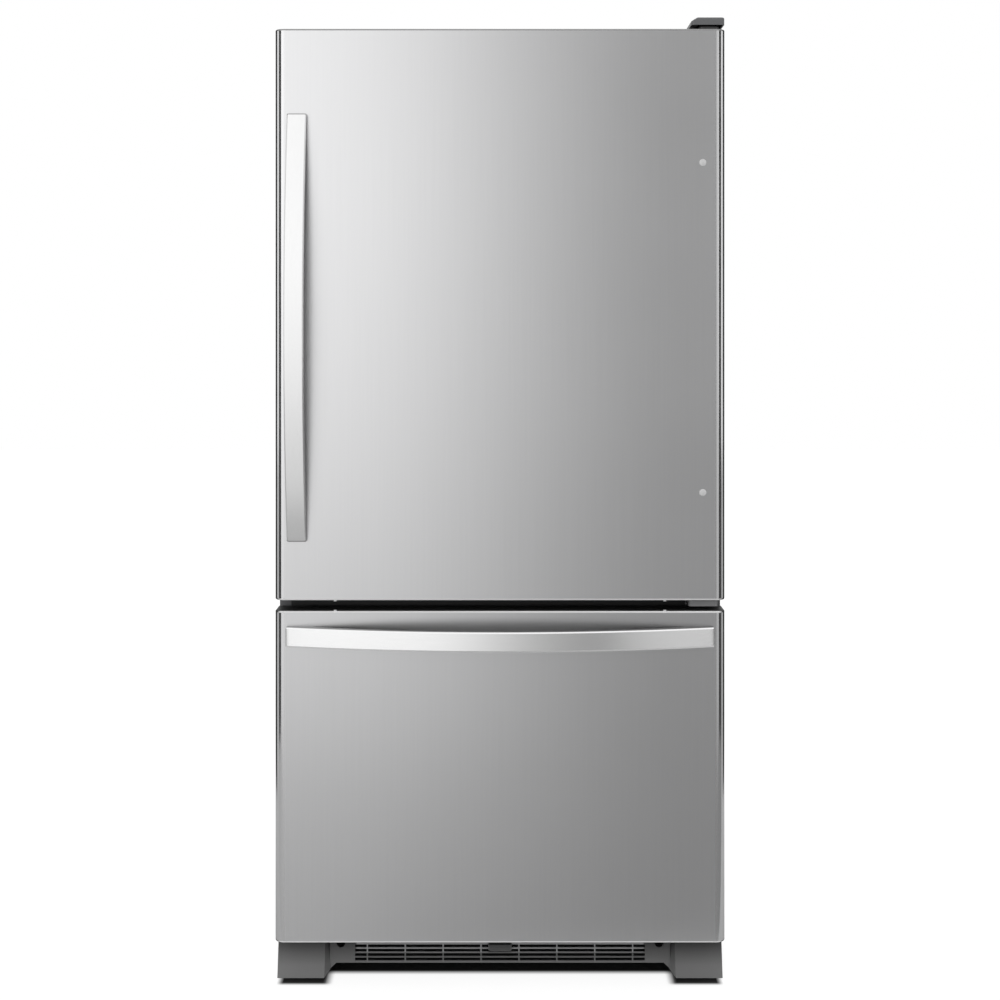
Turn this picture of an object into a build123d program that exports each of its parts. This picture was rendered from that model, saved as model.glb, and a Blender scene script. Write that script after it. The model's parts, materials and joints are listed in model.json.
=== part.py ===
from build123d import *
import os

# A bottom freezer refrigerator: one hinged door above, a freezer drawer below.
# Millimetres. X runs to the right seen from the front, the front faces -Y and +Z is up.
# The origin is on the floor, at the middle of the footprint with the handles counted in.

# ---------------------------------------------------------------- driving dimensions
# Cabinet
case_width = 829.0
case_depth = 737.0
case_top = 1755.0
case_bottom = 62.0
side_drop = 22.0  # the side panels reach this far below the cabinet's floor
sheet = 0.8  # steel sheet of the panels and door skins
flange = 22.0  # front edge of the panels, bent inwards
side_foam = 48.0
top_foam = 50.0
back_foam = 55.0
floor_foam = 42.0
liner = 2.5  # wall of the moulded plastic liners
liner_corner = 12.0
liner_back_round = 8.0
mullion_height = 66.0  # insulated wall between the two compartments
machine_depth = 250.0  # compartment of the compressor, at the bottom of the back
machine_height = 270.0

# Doors
door_depth = 62.0
door_corner = 18.0  # round of the door's upright front edges
door_return = 16.0  # the skin's rear edges, bent inwards
cap_edge = 3.0  # visible edge of the plastic end caps
cap_depth = 12.0  # how far a cap reaches into the door
cap_round = 2.2  # round of the cap's visible edge
freezer_door_bottom = 84.0
freezer_door_height = 609.0
door_gap = 20.0
door_rise = 8.0  # upper door above the top of the cabinet
gasket_depth = 14.0
gasket_width = 12.0
gasket_inset = 28.0
gasket_rise = 4.0  # gasket from the door's edge along the mullion and the base
gasket_top_drop = 12.0  # gasket below the top of the cabinet
dyke_reach = 52.0  # how far the rim of the door liner stands into the compartment
dyke_width = 18.0
dyke_round = 6.0
dyke_side_gap = 11.0
dyke_end_gap = 10.0
freezer_dyke_reach = 20.0
freezer_dyke_gap = 24.0
clip_side = 111.5  # small clips at the gap between the doors, from the door's side
clip_width = 5.0
clip_drop = 2.0

# Hinges
hinge_inset = 22.0  # pin axis from the side of the cabinet
hinge_setback = 30.0  # pin axis behind the door's front
pin_radius = 5.0
pin_clearance = 0.08
pin_engagement = 14.0
leaf_thickness = 5.0
leaf_width = 54.0
leaf_reach = 12.5  # leaves in front of the pin's axis
centre_leaf_side = 10.0  # centre leaf from the pin towards the side
top_leaf_reach = 24.0  # top bracket from the pin towards the door's middle
leaf_lift = 2.0  # top leaf above the door
centre_leaf_height = 11.0
centre_leaf_drop = 3.0  # centre leaf below the upper door
bracket_setback = 12.0  # brackets behind the front of the cabinet
bracket_foot = 66.0  # top bracket's foot on the cabinet
bracket_side = 12.0  # brackets from the pin towards the side
bracket_plate = 3.0
plate_rise = 6.0  # centre plate above and below its leaf
leaf_corner = 6.0
bracket_screw_x = 9.0
bracket_screw_first = 24.0  # first screw behind the foot's front edge
bracket_screw_pitch = 28.0
cover_wall = 2.5
cover_door_gap = 10.0  # underside of the cover above the door
cover_front_height = 14.0
cover_left = 61.0  # width of the hinge cover
cover_length = 175.0
cover_slope = 12.0
cover_slope_drop = 7.2
cover_corner = 5.0
cover_edge = 3.0

screw_radius = 4.0
screw_head_height = 3.0
screw_head_radius = 7.2
cover_head_radius = 5.2

# Handles
handle_reach = 60.0  # door front to the front of the bow
handle_width = 36.0
handle_thick = 11.0
handle_round = 2.0
fridge_handle_low = 109.0  # upright handle above the lower edge of its door
fridge_handle_high = 157.0  # and below the upper edge
fridge_handle_inset = 42.0  # centre line of the upright handle from the door's side
freezer_handle_side = 22.0  # ends of the level handle from the door's sides
freezer_handle_drop = 46.0  # centre line of the lower handle below the door's top
handle_foot = 46.0  # length of the seat at each end of a handle
plug_radius = 6.5
plug_rise = 1.6
plug_stem = 3.8
plug_length = 9.0
plug_play = 1.0  # the plug's stem is shorter than its hole
plug_dome = 0.95  # round of the plug's head
plug_end = 89.0  # hole plugs lie this far inside the handle's ends

# Fittings of the upper compartment
moulded = 2.5  # wall of bins, boxes and drawers
bin_first = 240.0  # lowest bin above the compartment's floor
bin_pitch = 260.0
bin_room = 30.0  # least space above a bin
bin_corner = 9.0
bin_depth = 112.0
bin_height = 92.0
dairy_drop = 118.0  # dairy box below the top of the door's rim
dairy_height = 78.0
dairy_width = 300.0
dairy_depth = 82.0
dairy_lip = 12.0
lid_barrel = 4.5
lid_pin = 2.5
lid_drop = 1.5  # lid's barrel below the box's rim
lid_round = 0.5
track_x = 170.0
track_width = 20.0
track_depth = 8.0
track_start = 230.0
track_top_gap = 60.0
track_pitch = 25.0
track_slot_width = 5.0
track_slot_height = 10.0
shelf_first = 400.0  # lowest shelf above the compartment's floor
shelf_pitch = 185.0
shelf_room = 150.0  # least space above a shelf
shelf_depth = 500.0
shelf_hook = 4.0
hook_half = 2.0
shelf_side_gap = 6.0
rim_width = 16.0
rim_height = 14.0
rim_lip = 6.0
rim_corner = 10.0
glass_thick = 4.0
crisper_setback = 150.0  # crispers behind the front of the cabinet
crisper_back_gap = 28.0
crisper_lift = 32.0
crisper_height = 158.0
crisper_roof_gap = 3.0
crisper_side_gap = 41.0
crisper_middle = 12.0
crisper_pull = 10.0
pull_drop = 19.0
pull_thick = 3.0
crisper_corner = 8.0
crisper_lip_end = 14.0  # side lips stop short of the crisper's ends
crisper_cover_setback = 4.0
middle_web = 3.0
lip_width = 8.0
lip_drop = 6.0
ledge_reach = 5.0
slider_start = 132.0  # slider from the side of the crisper
slider_travel = 40.0
slider_half = 4.0
slider_slot = 6.0  # height of its slot
slider_knob = 9.0
knob_round = 1.0
slider_depth = 3.0
control_half = 170.0
control_setback = 100.0  # control box behind the front of the cabinet
control_depth = 180.0
control_wall = 3.0
control_corner = 12.0
control_round = 5.0
control_height = 46.0
dial_x = -90.0
dial_radius = 18.0
dial_depth = 8.0
dial_shaft = 4.0
dial_shaft_length = 10.0
dial_round = 1.5
grip_half = 2.5  # grip bar across the dial
grip_rise = 4.0
grip_end = 2.0
lens_half = 110.0
lens_length = 100.0
lens_height = 30.0
lens_wall = 2.0
lens_corner = 8.0

# Freezer drawer
rail_lift = 173.0  # rails above the floor of the freezer
rail_height = 40.0
rail_thick = 6.0
rail_start = 10.0
rail_back_gap = 38.0  # rails in front of the step
rail_stagger = 20.0  # each member is shorter than the last by this
rail_shrink = 4.0
rail_bead = 9.0
rail_groove = 10.0
rail_hook = 60.0  # the drawer's rails reach down behind the door by this
basket_side_gap = 2.0
basket_back_gap = 24.0
basket_lift = 12.0
basket_corner = 12.0
basket_lip_gap = 1.0  # basket's lips from the outer face of the rails
tray_setback = 4.0
tray_lip_gap = 4.0
tray_lip_end = 14.0
tray_length = 250.0
tray_height = 120.0

# Cooling
evaporator_room = 72.0
evaporator_half = 260.0
evaporator_height = 150.0
evaporator_front_gap = 8.0
evaporator_back_gap = 6.0
evaporator_tube_inset = 13.0
evaporator_tube_first = 26.0
evaporator_tube_pitch = 44.0
evaporator_fan_radius = 48.0
evaporator_fan_drop = 16.0  # fan's edge below the ceiling
evaporator_fan_back = 14.0  # fan's middle behind its cover
fan_ring_gap = 3.0
guard_bar = 3.0  # bars across the fan's opening
guard_overlap = 4.0
outlet_rise = 30.0  # row of slots at the foot of the evaporator's cover
outlet_pitch = 40.0
outlet_count = 13
outlet_width = 26.0
outlet_height = 8.0
fin_pitch = 12.0
fin_thick = 0.8
tube_radius = 4.0
fan_depth = 16.0
fan_gap = 1.0  # fan from its motor
blade_count = 5
blade_thick = 2.0
blade_angle = 38.0
hub_share = 0.3  # hub's radius to the fan's
shaft_radius = 2.0
motor_radius = 19.0
motor_length = 40.0
motor_bar_half = 60.0  # bar that holds the upper motor
motor_bar_height = 20.0
motor_bar_thick = 4.0
motor_foot_width = 24.0  # angle that holds the lower motor
motor_foot_thick = 3.0
motor_foot_length = 20.0
condenser_side = 74.5  # condenser from the side of the cabinet
condenser_length = 200.0
condenser_depth = 150.0
condenser_height = 160.0
condenser_tube_side = 20.0
condenser_tube_first = 22.0
condenser_tube_pitch = 34.0
condenser_fan_radius = 68.0
condenser_fan_gap = 44.0
pan_wall = 2.0
pan_height = 26.0
pan_side_gap = 10.0
pan_front_gap = 12.0
pan_back_gap = 22.0
pan_corner = 10.0
compressor_side = 194.5  # compressor's axis from the side of the cabinet
compressor_radius = 78.0
compressor_height = 150.0
compressor_dome = 43.0
foot_plate_length = 190.0
foot_plate_depth = 130.0
foot_plate_thick = 3.0
terminal_sink = 12.0  # terminal box, set into the pot's side
terminal_reach = 22.0
terminal_half = 25.0
terminal_low = 60.0
terminal_high = 115.0
pipe_setback = 40.0
pipe_sink = 10.0
pipe_length = 40.0
grommet_height = 12.0
grommet_radius = 11.0
grommet_pin = 4.0
grommet_lip = 1.5  # the foot plate rests on it
grommet_pin_rise = 7.0
grommet_hole_depth = 20.0
foot_pitch_x = 160.0
foot_pitch_y = 100.0
cover_recess = 2.5
machine_gland_x = -40.0
machine_gland_z = 110.0
cover_screw_side = 16.0
cover_screw_end = 12.0
vent_pitch = 26.0
vent_count = 9
vent_width = 9.0
vent_height = 120.0
gland_radius = 9.0
gland_bore = 4.0
gland_length = 12.0
gland_flange = 3.0
gland_play = 0.05

# Base
grille_setback = 60.0  # grille behind the doors' front
grille_low = 24.0
grille_top_gap = 6.0
grille_wall = 3.0
grille_sill = 4.0
slot_height = 5.5
bar_pitch = 8.2
slot_pitch = 71.0
slot_margin = 18.0  # slots stop short of the access holes
rib_width = 2.6
access_gap = 18.5  # holes that give access to the levelling legs, from the foot covers
access_z = 61.0
access_radius = 8.5
scoop_width = 44.0
scoop_reach = 6.0
scoop_low = 47.0
scoop_height = 13.0
scoop_corner = 5.0
foot_width = 98.0
foot_setback = 40.0
foot_back = 36.0
foot_clearance = 3.0
foot_slope = 15.0  # inner flank of a foot cover, along the depth
foot_flank = 10.5  # and across
foot_cut = 11.5  # its lower inner corner, cut off
foot_sweep = 10.0  # the same slant goes on into the grille's lower edge
leg_side = 46.5
leg_setback = 60.0  # legs behind the front of the cabinet
leg_radius = 6.0
leg_foot_radius = 18.0
leg_foot_height = 9.0
leg_foot_round = 2.5
bracket_height = 16.0
bracket_half = 22.0
bracket_tail = 40.0
roller_side = 69.5
roller_back = 66.5  # roller's axis from the back of the cabinet
roller_radius = 22.0
roller_width = 20.0
roller_round = 2.0
cheek_thick = 3.0
cheek_half = 16.0
cheek_drop = 9.0  # cheeks below the axle
base_half = 26.0
axle_radius = 4.0

# Running gaps
over = 1.0  # a cut passes the face that it opens by this
gap = 0.5  # pieces that are clear of each other
seat = 0.3  # pieces that rest on each other through a small play

# ---------------------------------------------------------------- derived places
half = case_width / 2
depth_all = handle_reach + door_depth + gasket_depth + case_depth
rear = depth_all / 2
front = rear - case_depth  # front edge of the cabinet
door_back = front - gasket_depth
door_front = door_back - door_depth
freezer_door_top = freezer_door_bottom + freezer_door_height
fridge_door_bottom = freezer_door_top + door_gap
fridge_door_top = case_top + door_rise
fridge_door_height = fridge_door_top - fridge_door_bottom
mullion_mid = freezer_door_top + door_gap / 2
hinge_x = half - hinge_inset
hinge_y = door_front + hinge_setback

inner_half = half - sheet - side_foam - liner  # inside of the compartments
inner_back = rear - sheet - back_foam - liner
fridge_floor = mullion_mid + mullion_height / 2
fridge_ceiling = case_top - sheet - top_foam - liner
freezer_ceiling = mullion_mid - mullion_height / 2
freezer_floor = case_bottom + sheet + floor_foam + liner
machine_front = rear - machine_depth
machine_top = case_bottom + machine_height
step_back = machine_front - sheet - back_foam - liner  # freezer wall in front of the step
step_top = machine_top + sheet + floor_foam + liner

fridge_dyke_low = fridge_floor + dyke_end_gap
fridge_dyke_high = fridge_ceiling - dyke_end_gap
fridge_handle_bottom = fridge_door_bottom + fridge_handle_low
fridge_handle_top = fridge_door_top - fridge_handle_high
fridge_handle_length = fridge_handle_top - fridge_handle_bottom
freezer_handle_length = case_width - 2 * freezer_handle_side
dairy_low = fridge_dyke_high - dairy_drop - dairy_height
bin_space = dairy_low - bin_room - bin_height - fridge_floor - bin_first
bin_levels = [bin_first + i * bin_pitch for i in range(int(bin_space / bin_pitch) + 1)]
shelf_space = fridge_ceiling - shelf_room - fridge_floor - shelf_first
shelf_levels = [shelf_first + i * shelf_pitch for i in range(int(shelf_space / shelf_pitch) + 1)]
crisper_front = front + crisper_setback
crisper_back = inner_back - crisper_back_gap
crisper_reach = inner_half - crisper_side_gap
crisper_roof = fridge_floor + crisper_lift + crisper_height + crisper_roof_gap
slider_x = -crisper_reach + slider_start
slider_z = crisper_roof + rim_height / 2
control_front = front + control_setback
control_back = control_front + control_depth
rail_low = freezer_floor + rail_lift
rail_front = front + rail_start
rail_back = step_back - rail_back_gap
condenser_right = half - condenser_side
condenser_left = condenser_right - condenser_length
compressor_x = -half + compressor_side
foot_inner = half - foot_width
access_x = foot_inner - access_gap
leg_x = half - leg_side
leg_y = front + leg_setback
roller_x = half - roller_side
roller_y = rear - roller_back
clip_x = half - clip_side

os.makedirs("parts", exist_ok=True)


def block(low, high, mode=Mode.ADD):
    """A rectangular block between two opposite corners, in the part being built."""
    size = [h - l for l, h in zip(low, high)]
    middle = [(l + h) / 2 for l, h in zip(low, high)]
    with Locations(tuple(middle)):
        Box(*size, mode=mode)


def rod(start, direction, radius, length, mode=Mode.ADD):
    """A round bar that starts at a point and runs along a direction."""
    with Locations(Plane(origin=start, z_dir=direction)):
        Cylinder(radius, length, align=(Align.CENTER, Align.CENTER, Align.MIN), mode=mode)


def save(builder, name):
    """Label a finished piece and write its file."""
    builder.part.label = name
    export_step(builder.part, "parts/" + name + ".step")


# ---------------------------------------------------------------- cabinet panels
def side_panel(side):
    """One side of the cabinet: a flat sheet with its front edge bent inwards."""
    outer = side * half
    inner = side * (half - sheet)
    edge = side * (half - flange)
    with BuildPart() as panel:
        with BuildSketch(Plane.XY.offset(case_bottom - side_drop)):
            with BuildLine():
                Polyline(
                    (outer, rear),
                    (outer, front),
                    (edge, front),
                    (edge, front + sheet),
                    (inner, front + sheet),
                    (inner, rear),
                    close=True,
                )
            make_face()
        extrude(amount=case_top - sheet - case_bottom + side_drop)
        block(
            (min(edge, inner) - sheet, front - over, case_bottom - side_drop - over),
            (max(edge, inner) + sheet, front + sheet, case_bottom),
            mode=Mode.SUBTRACT,
        )
    return panel


save(side_panel(-1), "side_panel_left")
save(side_panel(1), "side_panel_right")

with BuildPart() as top_panel:
    block((-half, front, case_top - sheet), (half, rear, case_top))
    block((-half + flange, front, case_top - flange), (half - flange, front + sheet, case_top))
save(top_panel, "top_panel")

with BuildPart() as back_panel:
    block(
        (-half + sheet, rear - sheet, machine_top),
        (half - sheet, rear, case_top - sheet),
    )
save(back_panel, "back_panel")

with BuildPart() as base_deck:
    block(
        (-half + sheet, front + sheet, case_bottom),
        (half - sheet, machine_front, case_bottom + sheet),
    )
    block(
        (-half + sheet, machine_front - sheet, case_bottom),
        (half - sheet, machine_front, machine_top + sheet),
    )
    block(
        (-half + sheet, machine_front, machine_top),
        (half - sheet, rear - sheet, machine_top + sheet),
    )
    block(
        (-half + sheet, machine_front - sheet, case_bottom),
        (half - sheet, rear - sheet, case_bottom + sheet),
    )
save(base_deck, "base_deck")

# ---------------------------------------------------------------- insulation and liners
foam_half = half - sheet
foam_front = front + sheet
foam_back = rear - sheet

with BuildPart() as fridge_foam:
    block((-foam_half, foam_front, mullion_mid), (foam_half, foam_back, case_top - sheet))
    block(
        (-inner_half - liner, foam_front - over, fridge_floor - liner),
        (inner_half + liner, inner_back + liner, fridge_ceiling + liner),
        mode=Mode.SUBTRACT,
    )
    block(
        (-half + flange, front - over, case_top - flange),
        (half - flange, front + sheet, case_top),
        mode=Mode.SUBTRACT,
    )
save(fridge_foam, "fridge_foam")


def freezer_outline(offset, opening):
    """Side outline of the freezer space, grown by an offset, with its step over the compressor."""
    low = freezer_floor - offset
    high = freezer_ceiling + offset
    with BuildSketch(Plane.YZ) as outline:
        with BuildLine():
            Polyline(
                (opening, low),
                (step_back + offset, low),
                (step_back + offset, step_top - offset),
                (inner_back + offset, step_top - offset),
                (inner_back + offset, high),
                (opening, high),
                close=True,
            )
        make_face()
    return outline.sketch


with BuildPart() as freezer_foam:
    with BuildSketch(Plane.YZ):
        with BuildLine():
            Polyline(
                (foam_front, case_bottom + sheet),
                (machine_front - sheet, case_bottom + sheet),
                (machine_front - sheet, machine_top + sheet),
                (foam_back, machine_top + sheet),
                (foam_back, mullion_mid),
                (foam_front, mullion_mid),
                close=True,
            )
        make_face()
    extrude(amount=foam_half, both=True)
    space = freezer_outline(liner, foam_front - over)
    extrude(space, amount=inner_half + liner, both=True, mode=Mode.SUBTRACT)
save(freezer_foam, "freezer_foam")

with BuildPart() as fridge_liner:
    block(
        (-inner_half - liner, front, fridge_floor - liner),
        (inner_half + liner, inner_back + liner, fridge_ceiling + liner),
    )
    block(
        (-half + flange, front, fridge_floor - liner),
        (half - flange, foam_front, case_top - flange),
    )
    with BuildPart(mode=Mode.PRIVATE) as fridge_hollow:
        block(
            (-inner_half, front - 50, fridge_floor),
            (inner_half, inner_back, fridge_ceiling),
        )
        fillet(fridge_hollow.edges().filter_by(Axis.Y), liner_corner)
        fillet(fridge_hollow.faces().sort_by(Axis.Y)[-1].edges(), liner_back_round)
    add(fridge_hollow.part, mode=Mode.SUBTRACT)
save(fridge_liner, "fridge_liner")

with BuildPart() as freezer_liner:
    extrude(freezer_outline(liner, front), amount=inner_half + liner, both=True)
    block(
        (-half + flange, front, case_bottom + sheet),
        (half - flange, foam_front, freezer_ceiling + liner),
    )
    extrude(freezer_outline(0, front - over), amount=inner_half, both=True, mode=Mode.SUBTRACT)
save(freezer_liner, "freezer_liner")

# Steel strip across the cabinet's face between the compartments, where the gaskets close.
with BuildPart() as mullion_rail:
    block(
        (-half + flange, front, freezer_ceiling + liner),
        (half - flange, front + sheet, fridge_floor - liner),
    )
save(mullion_rail, "mullion_rail")

# ---------------------------------------------------------------- hinges of the upper door
top_leaf = fridge_door_top + leaf_lift
centre_leaf_top = fridge_door_bottom - centre_leaf_drop
centre_leaf_low = centre_leaf_top - centre_leaf_height
leaf_nose = hinge_y - leaf_reach
leaf_side = hinge_x + bracket_side
centre_side = hinge_x + centre_leaf_side
foot_front = front + bracket_setback

with BuildPart() as door_hinges:
    # top bracket: foot on the cabinet, riser, leaf over the door and its pin
    block(
        (hinge_x - top_leaf_reach, foot_front, case_top),
        (leaf_side, foot_front + bracket_foot, case_top + leaf_thickness),
    )
    block(
        (hinge_x - top_leaf_reach, foot_front, case_top),
        (leaf_side, foot_front + leaf_thickness, top_leaf + leaf_thickness),
    )
    block(
        (hinge_x - top_leaf_reach, leaf_nose, top_leaf),
        (leaf_side, foot_front + leaf_thickness, top_leaf + leaf_thickness),
    )
    rod((hinge_x, hinge_y, top_leaf), (0, 0, -1), pin_radius, pin_engagement)
    # centre bracket: plate on the mullion, leaf between the doors and its pin
    block(
        (centre_side - leaf_width, front - bracket_plate, centre_leaf_low - plate_rise),
        (centre_side, front, centre_leaf_top + centre_leaf_drop),
    )
    block(
        (centre_side - leaf_width, leaf_nose, centre_leaf_low),
        (centre_side, front, centre_leaf_top),
    )
    rod((hinge_x, hinge_y, centre_leaf_top), (0, 0, 1), pin_radius, pin_engagement)
    nose_edges = door_hinges.edges().filter_by(Axis.Z)
    fillet(nose_edges.filter_by_position(Axis.Y, leaf_nose - over, leaf_nose + over), leaf_corner)
    first_screw = foot_front + bracket_screw_first
    top_bracket_screws = [
        (hinge_x - bracket_screw_x, first_screw),
        (hinge_x - bracket_screw_x, first_screw + bracket_screw_pitch),
    ]
    with Locations(*[(x, y, case_top + leaf_thickness / 2) for x, y in top_bracket_screws]):
        Cylinder(screw_radius + gap, leaf_thickness, mode=Mode.SUBTRACT)
save(door_hinges, "door_hinges")

# Hollow cover over the top bracket, with a sloped inner side and a front that overhangs the door.
cover_front = leaf_nose - cover_wall - gap
cover_back = cover_front + cover_length
cover_low = fridge_door_top + cover_door_gap
cover_top = cover_low + cover_front_height
with BuildPart() as hinge_cover:
    with BuildSketch(Plane.YZ.offset(half - cover_left)):
        with BuildLine():
            Polyline(
                (cover_front, cover_low),
                (cover_front, cover_top),
                (cover_back, cover_top),
                (cover_back, case_top),
                (front + gap, case_top),
                (front + gap, cover_low),
                close=True,
            )
        make_face()
    extrude(amount=cover_left)
    chamfer(
        hinge_cover.edges().filter_by(Axis.Y).sort_by(Axis.X)[:4].sort_by(Axis.Z)[-1],
        length=cover_slope,
        length2=cover_slope_drop,
    )
    fillet(hinge_cover.edges().filter_by(Axis.Z).sort_by(Axis.Y)[:2], cover_corner)
    fillet(hinge_cover.faces().sort_by(Axis.Z)[-1].edges().sort_by(Axis.X)[-1], cover_edge)
    block(
        (half - cover_left + cover_slope, cover_front + cover_wall, case_top - over),
        (half - cover_wall, cover_back - cover_wall, cover_top - cover_wall),
        mode=Mode.SUBTRACT,
    )
save(hinge_cover, "hinge_cover")


# ---------------------------------------------------------------- doors
def door_outline(inset):
    """Plan outline of a door, drawn in by an inset all round, open to its back edge."""
    with BuildSketch() as outline:
        with BuildLine():
            Polyline(
                (-half + inset, door_back - inset),
                (-half + inset, door_front + inset),
                (half - inset, door_front + inset),
                (half - inset, door_back - inset),
                close=True,
            )
        make_face()
        corners = outline.vertices().sort_by(Axis.Y)[:2]
        fillet(corners, door_corner - inset)
    return outline.sketch


def door_skin(bottom, height):
    """Sheet steel wrapped round the front and sides of a door, with two bent rear edges."""
    low = bottom + cap_edge
    high = bottom + height - cap_edge
    with BuildPart() as skin:
        extrude(door_outline(0).moved(Location((0, 0, low))), amount=high - low)
        extrude(door_outline(sheet).moved(Location((0, 0, low))), amount=high - low, mode=Mode.SUBTRACT)
        block(
            (-half + door_return, door_back - 2 * sheet, low),
            (half - door_return, door_back, high),
            mode=Mode.SUBTRACT,
        )
    return skin


def door_caps(bottom, height, clips_low, clips_high):
    """Plastic caps that close the two ends of a door; their plugs fit inside the skin."""
    top = bottom + height
    with BuildPart() as caps:
        extrude(door_outline(0).moved(Location((0, 0, bottom))), amount=cap_edge)
        extrude(door_outline(0).moved(Location((0, 0, top - cap_edge))), amount=cap_edge)
        extrude(door_outline(sheet).moved(Location((0, 0, bottom))), amount=cap_depth)
        extrude(door_outline(sheet).moved(Location((0, 0, top - cap_depth))), amount=cap_depth)
        fillet(caps.faces().sort_by(Axis.Z)[0].edges(), cap_round)
        fillet(caps.faces().sort_by(Axis.Z)[-1].edges(), cap_round)
        for low in (bottom + cap_edge, top - cap_depth):
            block(
                (-half, door_back - liner, low),
                (half, door_back, low + cap_depth - cap_edge),
                mode=Mode.SUBTRACT,
            )
        for x in (-clip_x, clip_x):
            for low, wanted in ((bottom - clip_drop, clips_low), (top, clips_high)):
                if wanted:
                    block(
                        (x - clip_width / 2, door_front + 2, low),
                        (x + clip_width / 2, door_front + 8, low + clip_drop),
                    )
    return caps


def door_foam(bottom, height):
    """Rigid foam that fills a door between its caps."""
    with BuildPart() as foam:
        low = bottom + cap_depth
        extrude(door_outline(sheet).moved(Location((0, 0, low))), amount=height - 2 * cap_depth)
        block(
            (-half, door_back - liner, low - over),
            (half, door_back, bottom + height),
            mode=Mode.SUBTRACT,
        )
    return foam


def ring(low, high, width, mode=Mode.ADD):
    """An upright rectangular frame between two corners, with rails of one width."""
    with BuildPart(mode=Mode.PRIVATE) as frame:
        block(low, high)
        block(
            (low[0] + width, low[1] - over, low[2] + width),
            (high[0] - width, high[1] + over, high[2] - width),
            mode=Mode.SUBTRACT,
        )
    add(frame.part, mode=mode)


def gasket(low_z, high_z):
    """Rubber seal round the back of a door, with the fold of its bellows round the outside."""
    with BuildPart() as seal:
        outer = half - gasket_inset
        ring((-outer, door_back, low_z), (outer, front - seat, high_z), gasket_width)
        fold = gasket_width / 4
        ring(
            (-outer - over, door_back + gasket_depth / 3, low_z - over),
            (outer + 1, door_back + gasket_depth / 2, high_z + 1),
            fold + over,
            mode=Mode.SUBTRACT,
        )
    return seal


def door_liner(low_z, high_z, dyke_low, dyke_high, side_gap, reach):
    """Moulded back of a door: a sheet with a raised rim that stands into the compartment."""
    side = inner_half - side_gap
    with BuildPart() as back:
        block(
            (-half + door_return, door_back - liner, low_z),
            (half - door_return, door_back, high_z),
        )
        ring((-side, door_back, dyke_low), (side, front + reach, dyke_high), dyke_width)
        rim = back.faces().sort_by(Axis.Y)[-1]
        fillet(rim.edges(), dyke_round)
    return back


def handle(origin, along, across, length):
    """Bowed flat bar: an outer and an inner arc that run together into a foot at each end."""
    with BuildPart() as bar:
        with BuildSketch(Plane(origin=origin, x_dir=along, z_dir=across)):
            with BuildLine():
                Line((0, 0), (0, handle_thick))
                ThreePointArc(
                    (0, handle_thick), (length / 2, handle_reach), (length, handle_thick)
                )
                Line((length, handle_thick), (length, 0))
                Line((length, 0), (length - handle_foot, 0))
                ThreePointArc(
                    (length - handle_foot, 0),
                    (length / 2, handle_reach - handle_thick),
                    (handle_foot, 0),
                )
                Line((handle_foot, 0), (0, 0))
            make_face()
        extrude(amount=handle_width / 2, both=True)
        arcs = bar.edges().filter_by(GeomType.CIRCLE).sort_by(SortBy.LENGTH)[-2:]
        fillet(arcs, handle_round)
    return bar


# Upper door
fridge_seal_low = fridge_door_bottom + gasket_rise
fridge_seal_high = case_top - gasket_top_drop
freezer_seal_low = freezer_door_bottom + gasket_rise
freezer_seal_high = freezer_door_top - gasket_rise
freezer_dyke_low = freezer_floor + dyke_end_gap
freezer_dyke_high = freezer_ceiling - dyke_end_gap
bore = pin_radius + pin_clearance
bore_depth = pin_engagement + 2
plug_x = half - fridge_handle_inset
plug_heights = [fridge_handle_top - plug_end, fridge_handle_bottom + plug_end]
fridge_handle_x = -half + fridge_handle_inset

fridge_skin = door_skin(fridge_door_bottom, fridge_door_height)
with BuildPart() as fridge_door_skin:
    add(fridge_skin.part)
    for z in plug_heights:
        rod((plug_x, door_front - over, z), (0, 1, 0), plug_stem, sheet + 2 * over, mode=Mode.SUBTRACT)
save(fridge_door_skin, "fridge_door_skin")

fridge_caps = door_caps(fridge_door_bottom, fridge_door_height, True, False)
with BuildPart() as fridge_door_caps:
    add(fridge_caps.part)
    for z in (fridge_door_bottom - over, fridge_door_top - cap_depth - over):
        rod((hinge_x, hinge_y, z), (0, 0, 1), bore, cap_depth + 2 * over, mode=Mode.SUBTRACT)
save(fridge_door_caps, "fridge_door_caps")

fridge_filling = door_foam(fridge_door_bottom, fridge_door_height)
with BuildPart() as fridge_door_foam:
    add(fridge_filling.part)
    for z in (fridge_door_bottom, fridge_door_top - bore_depth):
        rod((hinge_x, hinge_y, z), (0, 0, 1), bore + gap, bore_depth, mode=Mode.SUBTRACT)
    for z in plug_heights:
        rod((plug_x, door_front, z), (0, 1, 0), plug_stem, plug_length, mode=Mode.SUBTRACT)
save(fridge_door_foam, "fridge_door_foam")

save(
    door_liner(
        fridge_door_bottom + cap_edge,
        fridge_door_top - cap_edge,
        fridge_dyke_low,
        fridge_dyke_high,
        dyke_side_gap,
        dyke_reach,
    ),
    "fridge_door_liner",
)
save(gasket(fridge_seal_low, fridge_seal_high), "fridge_door_gasket")
save(
    handle(
        (fridge_handle_x, door_front, fridge_handle_bottom), (0, 0, 1), (1, 0, 0), fridge_handle_length
    ),
    "fridge_handle",
)

with BuildPart() as hole_plugs:
    for z in plug_heights:
        rod((plug_x, door_front, z), (0, -1, 0), plug_radius, plug_rise)
        rod((plug_x, door_front, z), (0, 1, 0), plug_stem, plug_length - plug_play)
    fillet(hole_plugs.faces().sort_by(Axis.Y)[:2].edges(), plug_dome)
save(hole_plugs, "hole_plugs")

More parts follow.
